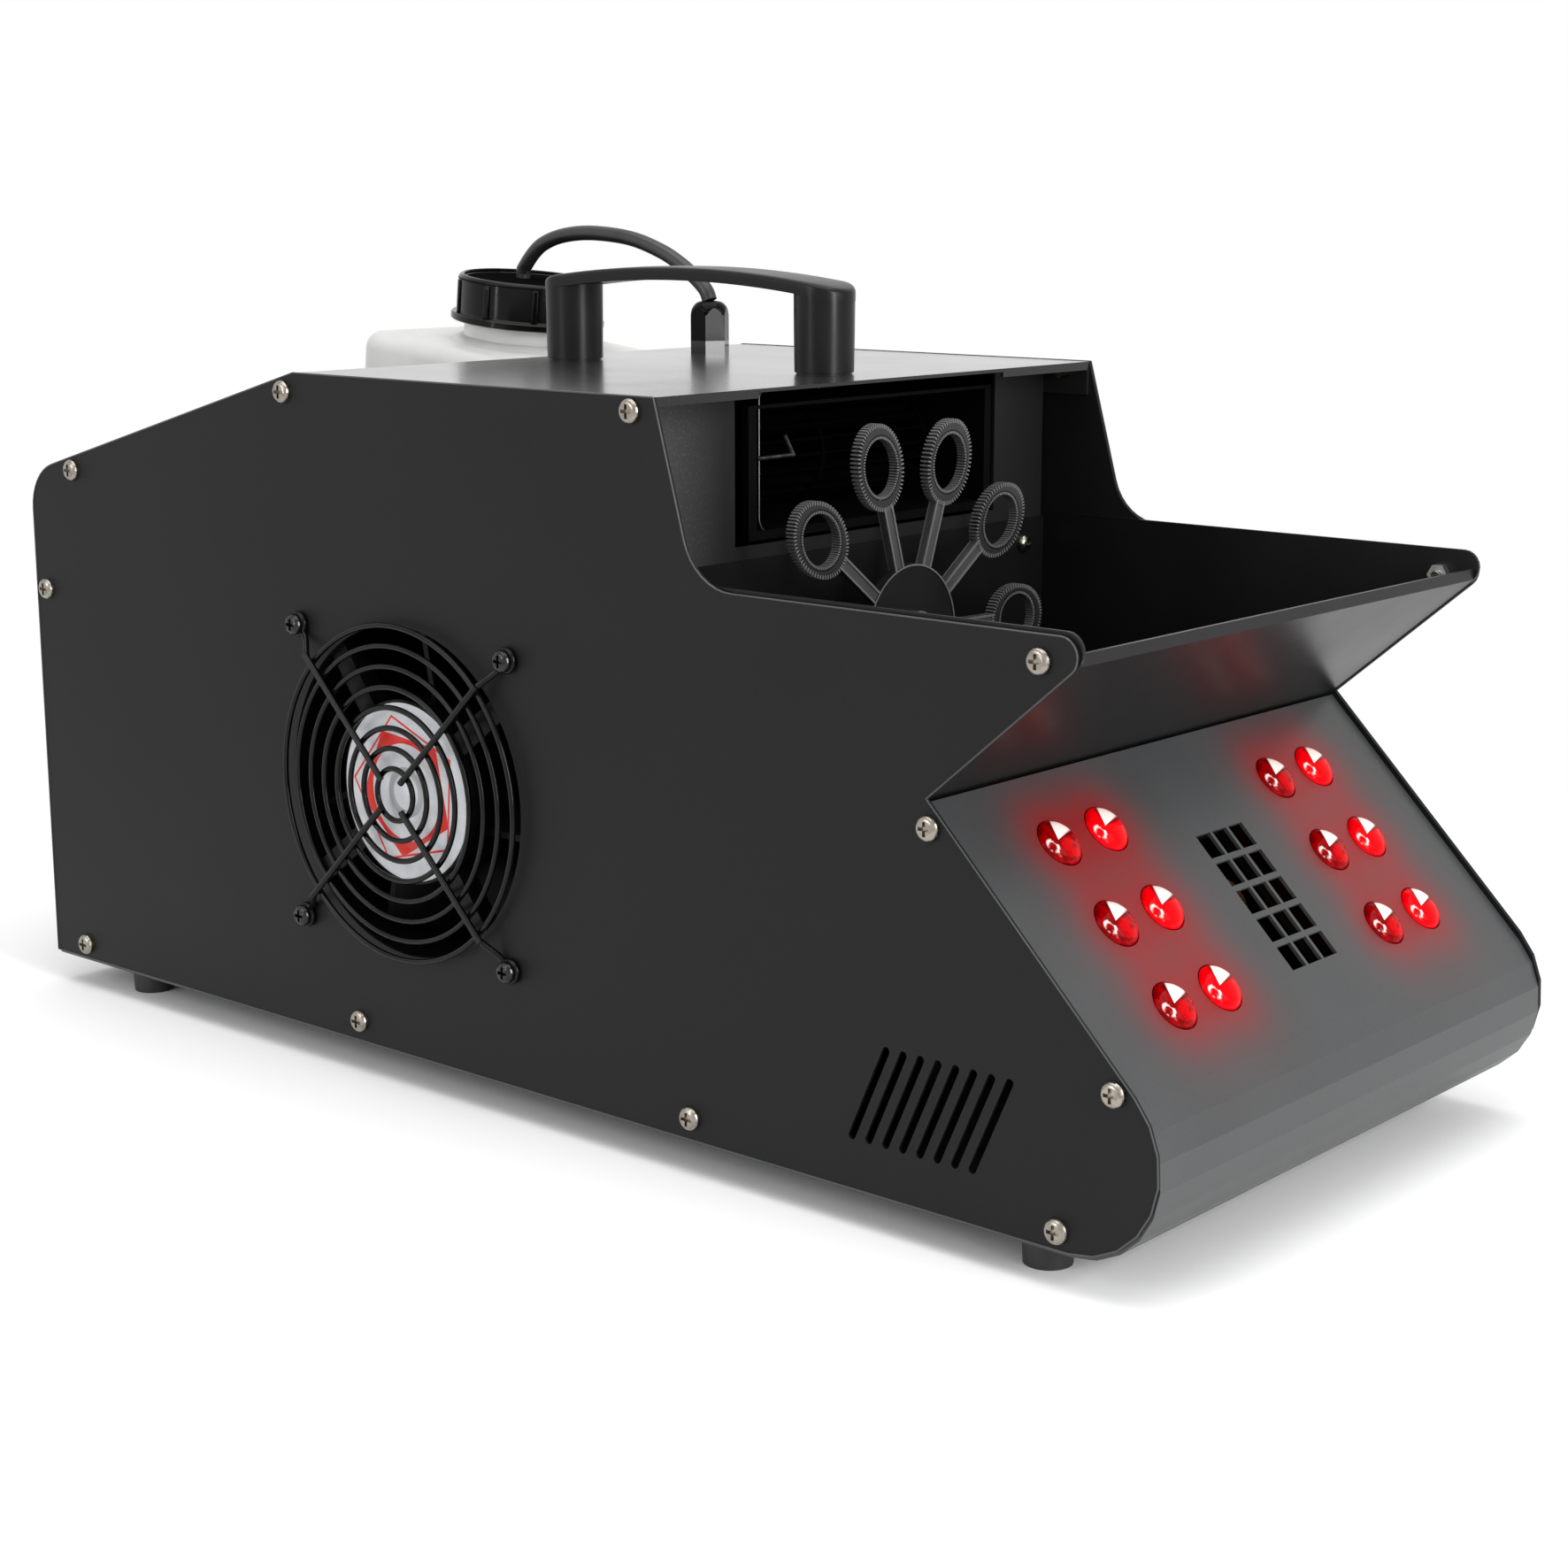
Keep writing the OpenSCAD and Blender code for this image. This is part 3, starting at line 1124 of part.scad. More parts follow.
module cheek_nuts()
    color("#b9b3a6") both_sides() translate([cheek_screw.x, -in_y + sheet, cheek_screw.y])
        rotate([-90, 0, 0]) hex_nut(6.5, 3, shank_d);

// --- the part -------------------------------------------------------------------------------
// The origin is the middle of everything's footprint, on the floor
near_y = leg_y - leg_wire;
far_y = half_w + head_h;
tail_x = back_x - 8;
module standing()
    translate([-(tail_x + front_x) / 2, -(near_y + far_y) / 2, stand_h]) children();
standing() side_panel_near();
standing() side_panel_far();
standing() base_wrap();
standing() top_cover();
standing() rear_panel();
standing() bulkhead();
standing() bubble_tray();
standing() tank_bay();
standing() led_board();
standing() led_chips();
standing() led_lenses();
standing() fan_frame();
standing() fan_rotor();
standing() fan_label();
standing() fan_guard();
standing() guard_screws();
standing() fan_nuts();
standing() blower_housing();
standing() blower_rotor();
standing() blower_motor();
standing() wand_wheel();
standing() wheel_shaft();
standing() gear_motor();
standing() heater_block();
standing() heater_jacket();
standing() heater_stands();
standing() thermostats();
standing() fog_nozzle();
standing() pump_body();
standing() pump_plunger();
standing() feed_tube();
standing() inner_hose();
standing() power_supply();
standing() control_board();
standing() display_window();
standing() button_menu();
standing() button_up();
standing() button_down();
standing() button_enter();
standing() power_inlet();
standing() fuse_holder();
standing() fuse_cap();
standing() switch_frame();
standing() switch_rocker();
standing() signal_in();
standing() signal_out();
standing() handle();
standing() handle_screws();
standing() gland_body();
standing() gland_nut();
standing() suction_hose();
standing() dip_tube();
standing() jug();
standing() jug_cap();
standing() feet();
standing() foot_screws();
standing() panel_screws();
standing() tray_screws();
standing() cheek_nuts();
standing() wire_hook();
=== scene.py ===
"""Looks of the fog machine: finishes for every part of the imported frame, and the pieces with finer detail."""

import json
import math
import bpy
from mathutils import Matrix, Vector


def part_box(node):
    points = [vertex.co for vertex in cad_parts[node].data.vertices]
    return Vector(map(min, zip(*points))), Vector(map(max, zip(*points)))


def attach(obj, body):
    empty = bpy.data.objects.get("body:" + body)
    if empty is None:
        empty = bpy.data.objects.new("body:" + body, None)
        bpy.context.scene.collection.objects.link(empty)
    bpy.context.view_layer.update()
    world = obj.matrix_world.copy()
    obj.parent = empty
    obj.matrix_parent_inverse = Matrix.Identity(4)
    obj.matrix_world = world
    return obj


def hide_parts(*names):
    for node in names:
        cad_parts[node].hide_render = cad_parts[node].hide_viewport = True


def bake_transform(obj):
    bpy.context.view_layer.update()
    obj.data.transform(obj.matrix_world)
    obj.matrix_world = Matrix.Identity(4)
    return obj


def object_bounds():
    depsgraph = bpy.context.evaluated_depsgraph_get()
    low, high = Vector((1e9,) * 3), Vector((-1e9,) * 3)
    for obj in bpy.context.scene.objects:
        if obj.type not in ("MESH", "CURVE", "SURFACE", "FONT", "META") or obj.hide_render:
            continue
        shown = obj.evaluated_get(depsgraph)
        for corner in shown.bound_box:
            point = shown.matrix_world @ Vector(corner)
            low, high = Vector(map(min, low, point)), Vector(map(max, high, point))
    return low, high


bl_info = {
    "name": "Fog Machine Looks",
    "version": (1, 0, 0),
    "blender": (4, 5, 0),
    "location": "View3D > Sidebar > Fog Machine",
    "description": "Dresses the packed frame of a stage fog and bubble machine",
    "category": "Object",
}

import bmesh
import bpy
from mathutils import Matrix, Vector
from mathutils.bvhtree import BVHTree

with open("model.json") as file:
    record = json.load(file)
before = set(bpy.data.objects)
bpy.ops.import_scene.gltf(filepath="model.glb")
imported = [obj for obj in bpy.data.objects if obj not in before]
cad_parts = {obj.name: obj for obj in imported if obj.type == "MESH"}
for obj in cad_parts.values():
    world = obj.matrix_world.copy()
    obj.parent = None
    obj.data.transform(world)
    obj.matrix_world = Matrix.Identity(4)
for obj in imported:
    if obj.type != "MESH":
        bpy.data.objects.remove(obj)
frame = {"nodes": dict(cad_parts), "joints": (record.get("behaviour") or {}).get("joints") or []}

CAD_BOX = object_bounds()
NODES = frame["nodes"]
MM = 0.001
QUARTER = math.pi / 2
# Corners nearer to each other than this are one
MERGE = 1e-6

# The photograph's frame, and the points that set the camera and at which the pieces are measured
W = H = 1568
POINTS = {
    "left edge": (33.5, None),
    "right edge": (1542.5, None),
    "handle top": (None, 264.5),
    "lowest foot": (None, 1270.0),
    "rear top screw": (280.8, 393.2),
    "brow screw": (628.1, 413.2),
    "rear upper screw": (69.2, 471.8),
    "tray screw": (1037.0, 664.3),
    "lip screw": (925.4, 829.1),
    "nose screw": (1111.8, 1095.5),
    "front foot screw": (1054.0, 1231.0),
    "bottom middle screw": (691.1, 1119.4),
    "fan hub": (405.3, 791.9),
    "hose gland": (709.8, 320.9),
    "first lens": (1060.4, 843.2),
    "last lens": (1420.7, 908.2),
}
# Edges of the object: axis of the picture, and whether the largest or the smallest number counts
EDGES = {
    "left edge": (0, min), "right edge": (0, max), "handle top": (1, min), "lowest foot": (1, max),
}
# Features that are no panel screw: the CAD node or finished piece that shows at each point
FEATURES = {
    "fan hub": "fan_label", "hose gland": "gland_nut_domed",
    "first lens": "lamp_lens_01", "last lens": "lamp_lens_12",
}
SCREWS = "panel_screws"
CORDS = ("hose",)
# How many of the outermost corners are tried for an edge of the object
OUTERMOST = 4000
# Depths at which a ray that misses looks for the nearest surface, in millimetres
DEPTHS = range(400, 1600, 10)
# A point counts as seen when what hides it is no further in front than this
SIGHT_SPARE = 0.5 * MM


# --- kinds of settings ------------------------------------------------------------------------


def metres(name, description, default):
    return bpy.props.FloatProperty(name=name, description=description, default=default, unit="LENGTH")


def degrees(name, description, default):
    return bpy.props.FloatProperty(
        name=name, description=description, default=math.radians(default), subtype="ANGLE"
    )


def level(name, description, default):
    return bpy.props.FloatProperty(name=name, description=description, default=default)


def count(name, description, default):
    return bpy.props.IntProperty(name=name, description=description, default=default, min=3)


def tint(name, description, default):
    return bpy.props.FloatVectorProperty(
        name=name, description=description, size=3, default=default, subtype="COLOR"
    )


def several(name, description, default, unit="NONE"):
    return bpy.props.FloatVectorProperty(
        name=name, description=description, size=len(default), default=default, unit=unit
    )


def settings_of(group):
    return getattr(bpy.context.scene, "fog_" + group)


# --- camera ---------------------------------------------------------------------------------


class CameraSettings(bpy.types.PropertyGroup):
    place: several("Place", "Where the camera stands", (0.65818, -0.72454, 0.30956), "LENGTH")
    turn: degrees("Turn", "Turn about the upright axis", 41.011)
    tip: degrees("Tip", "Downward tip from level", 12.248)
    lens: level("Lens", "Focal length in millimetres", 63.58)
    sensor: level("Sensor", "Sensor width in millimetres", 36.0)
    clip_near: metres("Nearest", "Nearest distance drawn", 0.02)


def camera_frame(camera):
    """Place and axes of the photograph's camera."""
    turn = Matrix.Rotation(camera.turn, 3, "Z") @ Matrix.Rotation(QUARTER - camera.tip, 3, "X")
    return Vector(camera.place), turn


def in_picture(point, camera):
    """Where a point shows in the W by H frame, in pixels from its upper left corner."""
    place, turn = camera_frame(camera)
    seen = turn.transposed() @ (Vector(point) - place)
    scale = max(W, H) * camera.lens / camera.sensor / -seen.z
    return W / 2 + seen.x * scale, H / 2 - seen.y * scale


def on_surface(x, y, carriers, camera):
    """Where the ray through an image point meets the carriers, or the place nearest to it."""
    place, turn = camera_frame(camera)
    ray = turn @ Vector((x - W / 2, H / 2 - y, -max(W, H) * camera.lens / camera.sensor))
    ray.normalize()
    work = bmesh.new()
    for carrier in carriers:
        work.from_mesh(carrier.data)
    tree = BVHTree.FromBMesh(work)
    work.free()
    hit = tree.ray_cast(place, ray)[0]
    if hit is None:
        nearest = [tree.find_nearest(place + ray * depth * MM) for depth in DEPTHS]
        hit = min(nearest, key=lambda found: found[3])[0]
    return hit


def shows(spot, camera, depsgraph):
    """Whether the camera sees a point."""
    place = camera_frame(camera)[0]
    way = spot - place
    hit, meets, *_ = bpy.context.scene.ray_cast(depsgraph, place, way.normalized())
    return not hit or (meets - place).length > way.length - SIGHT_SPARE


def edge_offset(name, seen, camera, depsgraph):
    """How far an edge of the object shows from its image point."""
    axis, extreme = EDGES[name]
    ranked = sorted(seen, key=lambda pair: pair[0][axis], reverse=extreme is max)
    in_view = (spot for spot, corner in ranked[:OUTERMOST] if shows(corner, camera, depsgraph))
    gap = round(next(in_view, ranked[0][0])[axis] - POINTS[name][axis], 1)
    return [gap, None] if axis == 0 else [None, gap]


def feature_offset(name, camera, depsgraph):
    """How far the middle of what shows of a feature is from its image point."""
    x, y = POINTS[name]
    source = FEATURES.get(name, SCREWS)
    piece = bpy.data.objects.get(source) or NODES[source]
    hit = on_surface(x, y, [piece], camera)
    solids = islands(piece) if source == SCREWS else [[vert.co for vert in piece.data.vertices]]
    solid = min(solids, key=lambda group: min((corner - hit).length for corner in group))
    spots = [in_picture(corner, camera) for corner in solid if shows(corner, camera, depsgraph)]
    spots = spots or [in_picture(corner, camera) for corner in solid]
    shown = [(min(spot[k] for spot in spots) + max(spot[k] for spot in spots)) / 2 for k in (0, 1)]
    return [round(shown[0] - x, 1), round(shown[1] - y, 1)]


def write_points(camera):
    """Works out how far each edge and feature shows from its image point, and keeps none of it."""
    depsgraph = bpy.context.evaluated_depsgraph_get()
    pieces = [
        piece for piece in bpy.context.scene.objects
        if piece.type == "MESH" and not piece.hide_render and piece.name not in CORDS + ("floor",)
    ]
    corners = [vert.co for piece in pieces for vert in piece.data.vertices]
    seen = [(in_picture(corner, camera), corner) for corner in corners]
    for name in POINTS:
        if name in EDGES:
            edge_offset(name, seen, camera, depsgraph)
        else:
            feature_offset(name, camera, depsgraph)


# --- helpers for meshes -----------------------------------------------------------------------


def joint(name):
    return next(made for made in frame["joints"] if made["name"] == name)


def new_piece(name, work):
    """Puts a bmesh into the scene as an object."""
    mesh = bpy.data.meshes.new(name)
    work.to_mesh(mesh)
    work.free()
    piece = bpy.data.objects.new(name, mesh)
    bpy.context.scene.collection.objects.link(piece)
    return piece


def finished(name, work, materials, body, smooth):
    """Turns a bmesh into a piece that rides on a body of the frame, smooth below an angle in degrees."""
    piece = new_piece(name, work)
    for material in materials:
        piece.data.materials.append(material)
    piece.data.shade_smooth()
    piece.data.set_sharp_from_angle(angle=math.radians(smooth))
    if body:
        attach(piece, body)
    return piece


def edges_of(verts):
    """Edges at these corners, each once."""
    return list(dict.fromkeys(edge for vert in verts for edge in vert.link_edges))


def faces_of(verts):
    """Faces at these corners, each once."""
    return list(dict.fromkeys(face for vert in verts for face in vert.link_faces))


def paint(faces, slot):
    """Gives these faces the material in a slot."""
    for face in faces:
        face.material_index = slot


def middle(low, high):
    return (Vector(low) + Vector(high)) / 2


def centre_of(corners):
    """Middle of the box round these places."""
    low, high = ([pick(corner[k] for corner in corners) for k in range(3)] for pick in (min, max))
    return middle(low, high)


def merged(piece):
    """Copy of a piece's mesh, with its doubled corners joined."""
    work = bmesh.new()
    work.from_mesh(piece.data)
    bmesh.ops.remove_doubles(work, verts=work.verts, dist=MERGE)
    return work


def groups(items, neighbours):
    """Splits items into lists of those that hang together."""
    left = dict.fromkeys(items)
    found = []
    while left:
        ahead = [next(iter(left))]
        del left[ahead[0]]
        group = list(ahead)
        while ahead:
            for other in neighbours(ahead.pop()):
                if other in left:
                    del left[other]
                    ahead.append(other)
                    group.append(other)
        found.append(group)
    return found


def islands(piece):
    """Corners of each separate solid in a CAD node or a piece, as lists of places."""
    work = merged(piece)
    solids = groups(work.verts, lambda vert: [edge.other_vert(vert) for edge in vert.link_edges])
    found = [[vert.co.copy() for vert in solid] for solid in solids]
    work.free()
    return found


def closed_loop(work, spots):
    """Closed line through these places, as its edges."""
    verts = [work.verts.new(spot) for spot in spots]
    return [work.edges.new(pair) for pair in zip(verts, verts[1:] + verts[:1])]


def circle(work, radius, segments, place):
    """Circle in a plane of its own, as its edges."""
    made = bmesh.ops.create_circle(work, segments=segments, radius=radius, matrix=place)
    return edges_of(made["verts"])


def bridge(work, loops, ends=False):
    """Joins each loop of edges to the next, and fills the first and the last where ends says so."""
    for first, second in zip(loops, loops[1:]):
        bmesh.ops.bridge_loops(work, edges=first + second)
    if ends:
        for loop in (loops[0], loops[-1]):
            bmesh.ops.edgeloop_fill(work, edges=loop)


def spin(work, verts, edges, centre, axis, steps):
    """Spins a line of edges a full turn."""
    bmesh.ops.spin(
        work, geom=verts + edges, cent=centre, axis=axis, angle=math.tau, steps=steps, use_merge=True
    )


def turned(work, profile, centre, axis, steps):
    """Spins an outline whose ends are closed or lie on the axis."""
    verts = [work.verts.new(spot) for spot in profile]
    edges = [work.edges.new(pair) for pair in zip(verts, verts[1:])]
    spin(work, verts, edges, centre, axis, steps)
    bmesh.ops.remove_doubles(work, verts=work.verts, dist=MERGE)


def block(work, place, size):
    """Box of this size where a matrix puts it, as its corners."""
    return bmesh.ops.create_cube(work, size=1, matrix=place @ Matrix.Diagonal((*size, 1)))["verts"]


def soften(work, edges, offset, segments):
    """Rounds edges."""
    bmesh.ops.bevel(
        work, geom=edges, offset=offset, offset_type="OFFSET", segments=segments, profile=0.5,
        affect="EDGES", material=-1,
    )


def settle(work, place):
    """Moves a whole bmesh to its place, with its faces outwards."""
    bmesh.ops.transform(work, matrix=place, verts=work.verts)
    bmesh.ops.recalc_face_normals(work, faces=work.faces)


def quarter_turn(steps):
    """Angles from 0 to a right angle, in so many steps."""
    return [QUARTER * k / steps for k in range(steps + 1)]


def sweep(work, points, radius, sides=12):
    """Round wire along a list of points, closed at its ends."""
    rings, side = [], None
    for place, point in enumerate(points):
        before, after = points[max(place - 1, 0)], points[min(place + 1, len(points) - 1)]
        along = (after - before).normalized()
        side = along.orthogonal() if side is None else side - along * side.dot(along)
        side.normalize()
        turn = Matrix((side, along.cross(side), along)).transposed().to_4x4()
        rings.append(circle(work, radius, sides, Matrix.Translation(point) @ turn))
    bridge(work, rings, ends=True)
    bmesh.ops.recalc_face_normals(work, faces=work.faces)


def smooth_line(points, steps):
    """Smooth curve through points, with so many steps between each two."""
    line = []
    ends = [points[0] * 2 - points[1]] + list(points) + [points[-1] * 2 - points[-2]]
    for a, b, c, d in zip(ends, ends[1:], ends[2:], ends[3:]):
        for k in range(steps):
            t = k / steps
            bend = (a * 2 - b * 5 + c * 4 - d) * t**2 + (b * 3 - a - c * 3 + d) * t**3
            line.append((b * 2 + (c - a) * t + bend) / 2)
    line.append(Vector(points[-1]))
    return line


# --- helpers for finishes ---------------------------------------------------------------------


def node(tree, kind, **values):
    made = tree.nodes.new(kind)
    for key, value in values.items():
        setattr(made, key, value)
    return made


def start_finish(name, colour, rough, metal=0.0, gloss=0.5, coat=0.0):
    """Material with a principled shader, its tree, the shader and object coordinates."""
    material = bpy.data.materials.new(name)
    material.use_nodes = True
    tree = material.node_tree
    shader = tree.nodes["Principled BSDF"]
    shader.inputs["Base Color"].default_value = (*colour, 1)
    shader.inputs["Roughness"].default_value = rough
    shader.inputs["Metallic"].default_value = metal
    shader.inputs["Specular IOR Level"].default_value = gloss
    shader.inputs["Coat Weight"].default_value = coat
    shader.inputs["Coat Roughness"].default_value = min(rough, 0.2)
    coords = node(tree, "ShaderNodeTexCoord").outputs["Object"]
    return material, tree, shader, coords


def mapped(tree, coords, **values):
    """Coordinates that a Mapping node moves, turns or scales."""
    made = node(tree, "ShaderNodeMapping")
    for key, value in values.items():
        made.inputs[key].default_value = value
    tree.links.new(coords, made.inputs["Vector"])
    return made.outputs["Vector"]


def apart(tree, vector):
    """The three numbers of a vector."""
    made = node(tree, "ShaderNodeSeparateXYZ")
    tree.links.new(vector, made.inputs[0])
    return made.outputs


def away_from(tree, vector, centre=(0, 0, 0)):
    """Distance of a vector from a place."""
    made = node(tree, "ShaderNodeVectorMath", operation="DISTANCE")
    tree.links.new(vector, made.inputs[0])
    made.inputs[1].default_value = centre
    return made.outputs["Value"]


def noise(tree, coords, scale, detail=2.0):
    """Noise of about 1/scale metres."""
    made = node(tree, "ShaderNodeTexNoise")
    made.inputs["Scale"].default_value = scale
    made.inputs["Detail"].default_value = detail
    tree.links.new(coords, made.inputs["Vector"])
    return made.outputs["Fac"]


def spread(tree, value, low, high, start=0.3, end=0.7):
    """Maps a value between start and end on to a range; the defaults are those of a noise."""
    made = node(tree, "ShaderNodeMapRange")
    for key, number in zip(("From Min", "From Max", "To Min", "To Max"), (start, end, low, high)):
        made.inputs[key].default_value = number
    tree.links.new(value, made.inputs["Value"])
    return made.outputs["Result"]


def between(tree, factor, first, second):
    """Mixes two colours, each an RGB triple or a socket."""
    made = node(tree, "ShaderNodeMix", data_type="RGBA")
    tree.links.new(factor, made.inputs["Factor"])
    for socket, colour in ((made.inputs[6], first), (made.inputs[7], second)):
        if isinstance(colour, bpy.types.NodeSocket):
            tree.links.new(colour, socket)
        else:
            socket.default_value = (*colour, 1)
    return made.outputs[2]


def calculate(tree, operation, *values):
    made = node(tree, "ShaderNodeMath", operation=operation)
    for socket, value in zip(made.inputs, values):
        if isinstance(value, bpy.types.NodeSocket):
            tree.links.new(value, socket)
        else:
            socket.default_value = value
    return made.outputs[0]


def shade(colour, share):
    return tuple(min(1.0, channel * share) for channel in colour)


def grey(amount):
    return (amount, amount, amount)


def clouded(tree, pattern, colour, dark, pale):
    """A colour that wanders between two shares of itself."""
    return between(tree, spread(tree, pattern, 0, 1), shade(colour, dark), shade(colour, pale))


def relief(tree, height, distance, shader):
    """Bump of so many metres from a height between 0 and 1."""
    made = node(tree, "ShaderNodeBump")
    made.inputs["Distance"].default_value = distance
    made.inputs["Strength"].default_value = 1.0
    tree.links.new(height, made.inputs["Height"])
    tree.links.new(made.outputs["Normal"], shader.inputs["Normal"])


# --- finishes ---------------------------------------------------------------------------------


def powder_coat(name, colour, rough, peel=0.00002, gloss=0.5, coat=0.0):
    """Baked powder paint: fine orange peel, specks, and faint clouding of tone and sheen."""
    material, tree, shader, coords = start_finish(name, colour, rough, gloss=gloss, coat=coat)
    clouds = noise(tree, coords, 22, 3)
    specks = spread(tree, noise(tree, coords, 1500, 1), 0, 0.25, 0.55, 0.75)
    tone = between(tree, specks, clouded(tree, clouds, colour, 0.9, 1.1), shade(colour, 1.7))
    tree.links.new(tone, shader.inputs["Base Color"])
    tree.links.new(spread(tree, clouds, rough - 0.03, rough + 0.04), shader.inputs["Roughness"])
    relief(tree, noise(tree, coords, 900, 2), peel, shader)
    return material, tree, shader, coords


def moulded(name, colour, rough, grain=0.00001, size=1200, gloss=0.5):
    """Moulded plastic: faint grain and flow marks."""
    material, tree, shader, coords = start_finish(name, colour, rough, gloss=gloss)
    flow = noise(tree, coords, 35, 2)
    tree.links.new(clouded(tree, flow, colour, 0.88, 1.12), shader.inputs["Base Color"])
    tree.links.new(spread(tree, flow, rough - 0.04, rough + 0.05), shader.inputs["Roughness"])
    relief(tree, noise(tree, coords, size, 2), grain, shader)
    return material


def plated(name, colour, rough, stain=(0.35, 0.3, 0.22), amount=0.35):
    """Plated metal: tarnish in its tone, small scratches in its sheen."""
    material, tree, shader, coords = start_finish(name, colour, rough, metal=1.0)
    tarnish = spread(tree, noise(tree, coords, 420, 3), 0, amount, 0.4, 0.75)
    tree.links.new(between(tree, tarnish, colour, stain), shader.inputs["Base Color"])
    scratches = noise(tree, coords, 1600, 2)
    tree.links.new(spread(tree, scratches, rough - 0.06, rough + 0.1), shader.inputs["Roughness"])
    relief(tree, noise(tree, coords, 2200, 2), 0.00001, shader)
    return material


def rolled_alloy(name, colour, rough, along=(1, 12, 12)):
    """Rolled or drawn alloy, with lines along one axis."""
    material, tree, shader, coords = start_finish(name, colour, rough, metal=1.0)
    lines = noise(tree, mapped(tree, coords, Scale=along), 120, 3)
    tree.links.new(clouded(tree, lines, colour, 0.85, 1.1), shader.inputs["Base Color"])
    tree.links.new(spread(tree, lines, rough - 0.08, rough + 0.1), shader.inputs["Roughness"])
    relief(tree, lines, 0.00002, shader)
    return material


def circuit(name, mask, copper, rough=0.35, gloss=0.5):
    """Printed board: solder mask with tracks that show through it."""
    material, tree, shader, coords = start_finish(name, mask, rough, gloss=gloss)
    tracks = node(tree, "ShaderNodeTexBrick", offset=0.37)
    tracks.inputs["Scale"].default_value = 160
    tracks.inputs["Mortar Size"].default_value = 0.12
    tracks.inputs["Color1"].default_value = (*mask, 1)
    tracks.inputs["Color2"].default_value = (*shade(mask, 0.85), 1)
    tracks.inputs["Mortar"].default_value = (*copper, 1)
    tree.links.new(mapped(tree, coords, Rotation=(0, QUARTER, 0)), tracks.inputs["Vector"])
    tree.links.new(tracks.outputs["Color"], shader.inputs["Base Color"])
    relief(tree, tracks.outputs["Fac"], 0.00003, shader)
    return material


def rubber(name, colour, rough=0.6):
    """Soft rubber, dusty and fine-grained."""
    material, tree, shader, coords = start_finish(name, colour, rough)
    dust = noise(tree, coords, 90, 4)
    tree.links.new(clouded(tree, dust, colour, 0.8, 1.4), shader.inputs["Base Color"])
    relief(tree, noise(tree, coords, 1400, 3), 0.00003, shader)
    return material


def clear_tube(name, colour):
    """Clear plastic tube, a little cloudy."""
    material, tree, shader, coords = start_finish(name, colour, 0.2)
    shader.inputs["Transmission Weight"].default_value = 0.6
    tree.links.new(spread(tree, noise(tree, coords, 200), 0.15, 0.3), shader.inputs["Roughness"])
    return material


def dress(material, *names):
    """Gives CAD nodes their finish."""
    for name in names:
        NODES[name].data.materials.clear()
        NODES[name].data.materials.append(material)


# --- stage ------------------------------------------------------------------------------------

FLOOR_REACH = 4
# Share of the shaded floor's radius at which its shadows start to fade
FADE_START = 0.75
# Place, target, width and height of each light, the setting that holds its power, and its share of it
LIGHTS = {
    "light above": ((0.1, -0.1, 1.7), (0, 0, 0.1), (1.6, 1.6), "above", 1.0),
    "light at the side": ((-0.5, -1.7, 0.9), (0, 0, 0.1), (1.2, 0.9), "side", 1.0),
    "light at the front": ((1.8, 0.2, 0.8), (0.1, 0, 0.1), (0.9, 0.9), "front", 1.0),
    "strip at the right": ((1.45, -0.3, 0.5), (0, 0, 0.2), (0.22, 0.9), "strip", 1.0),
    "strip at the left": ((-0.35, -1.5, 0.5), (0, 0, 0.2), (0.06, 0.9), "strip", 0.16),
}


class StageSettings(bpy.types.PropertyGroup):
    backdrop: tint("Backdrop", "Colour of the floor and the room", (1, 1, 1))
    room: level("Room light", "Level of the light from all round", 0.62)
    shown: metres("Shaded floor", "Radius of the floor that takes shadows", 0.62)
    above: level("Light above", "Power of the large light above", 17)
    side: level("Side light", "Power of the light at the fan side", 7)
    front: level("Front light", "Power of the light at the front", 6)
    strip: level("Strip light", "Power of the right narrow light", 13)


def seen_by_eye(tree):
    """1 for rays of the camera, of gloss and of glass, which show the backdrop's own colour."""
    path = node(tree, "ShaderNodeLightPath")
    both = calculate(tree, "MAXIMUM", path.outputs["Is Camera Ray"], path.outputs["Is Glossy Ray"])
    return calculate(tree, "MAXIMUM", both, path.outputs["Is Transmission Ray"])


def soft_light(name, place, target, size, power):
    data = bpy.data.lights.new(name, "AREA")
    data.shape = "RECTANGLE"
    data.size, data.size_y = size
    data.energy = power
    lamp = bpy.data.objects.new(name, data)
    bpy.context.scene.collection.objects.link(lamp)
    lamp.location = place
    lamp.rotation_euler = (Vector(target) - Vector(place)).to_track_quat("-Z", "Y").to_euler()
    lamp.visible_camera = False


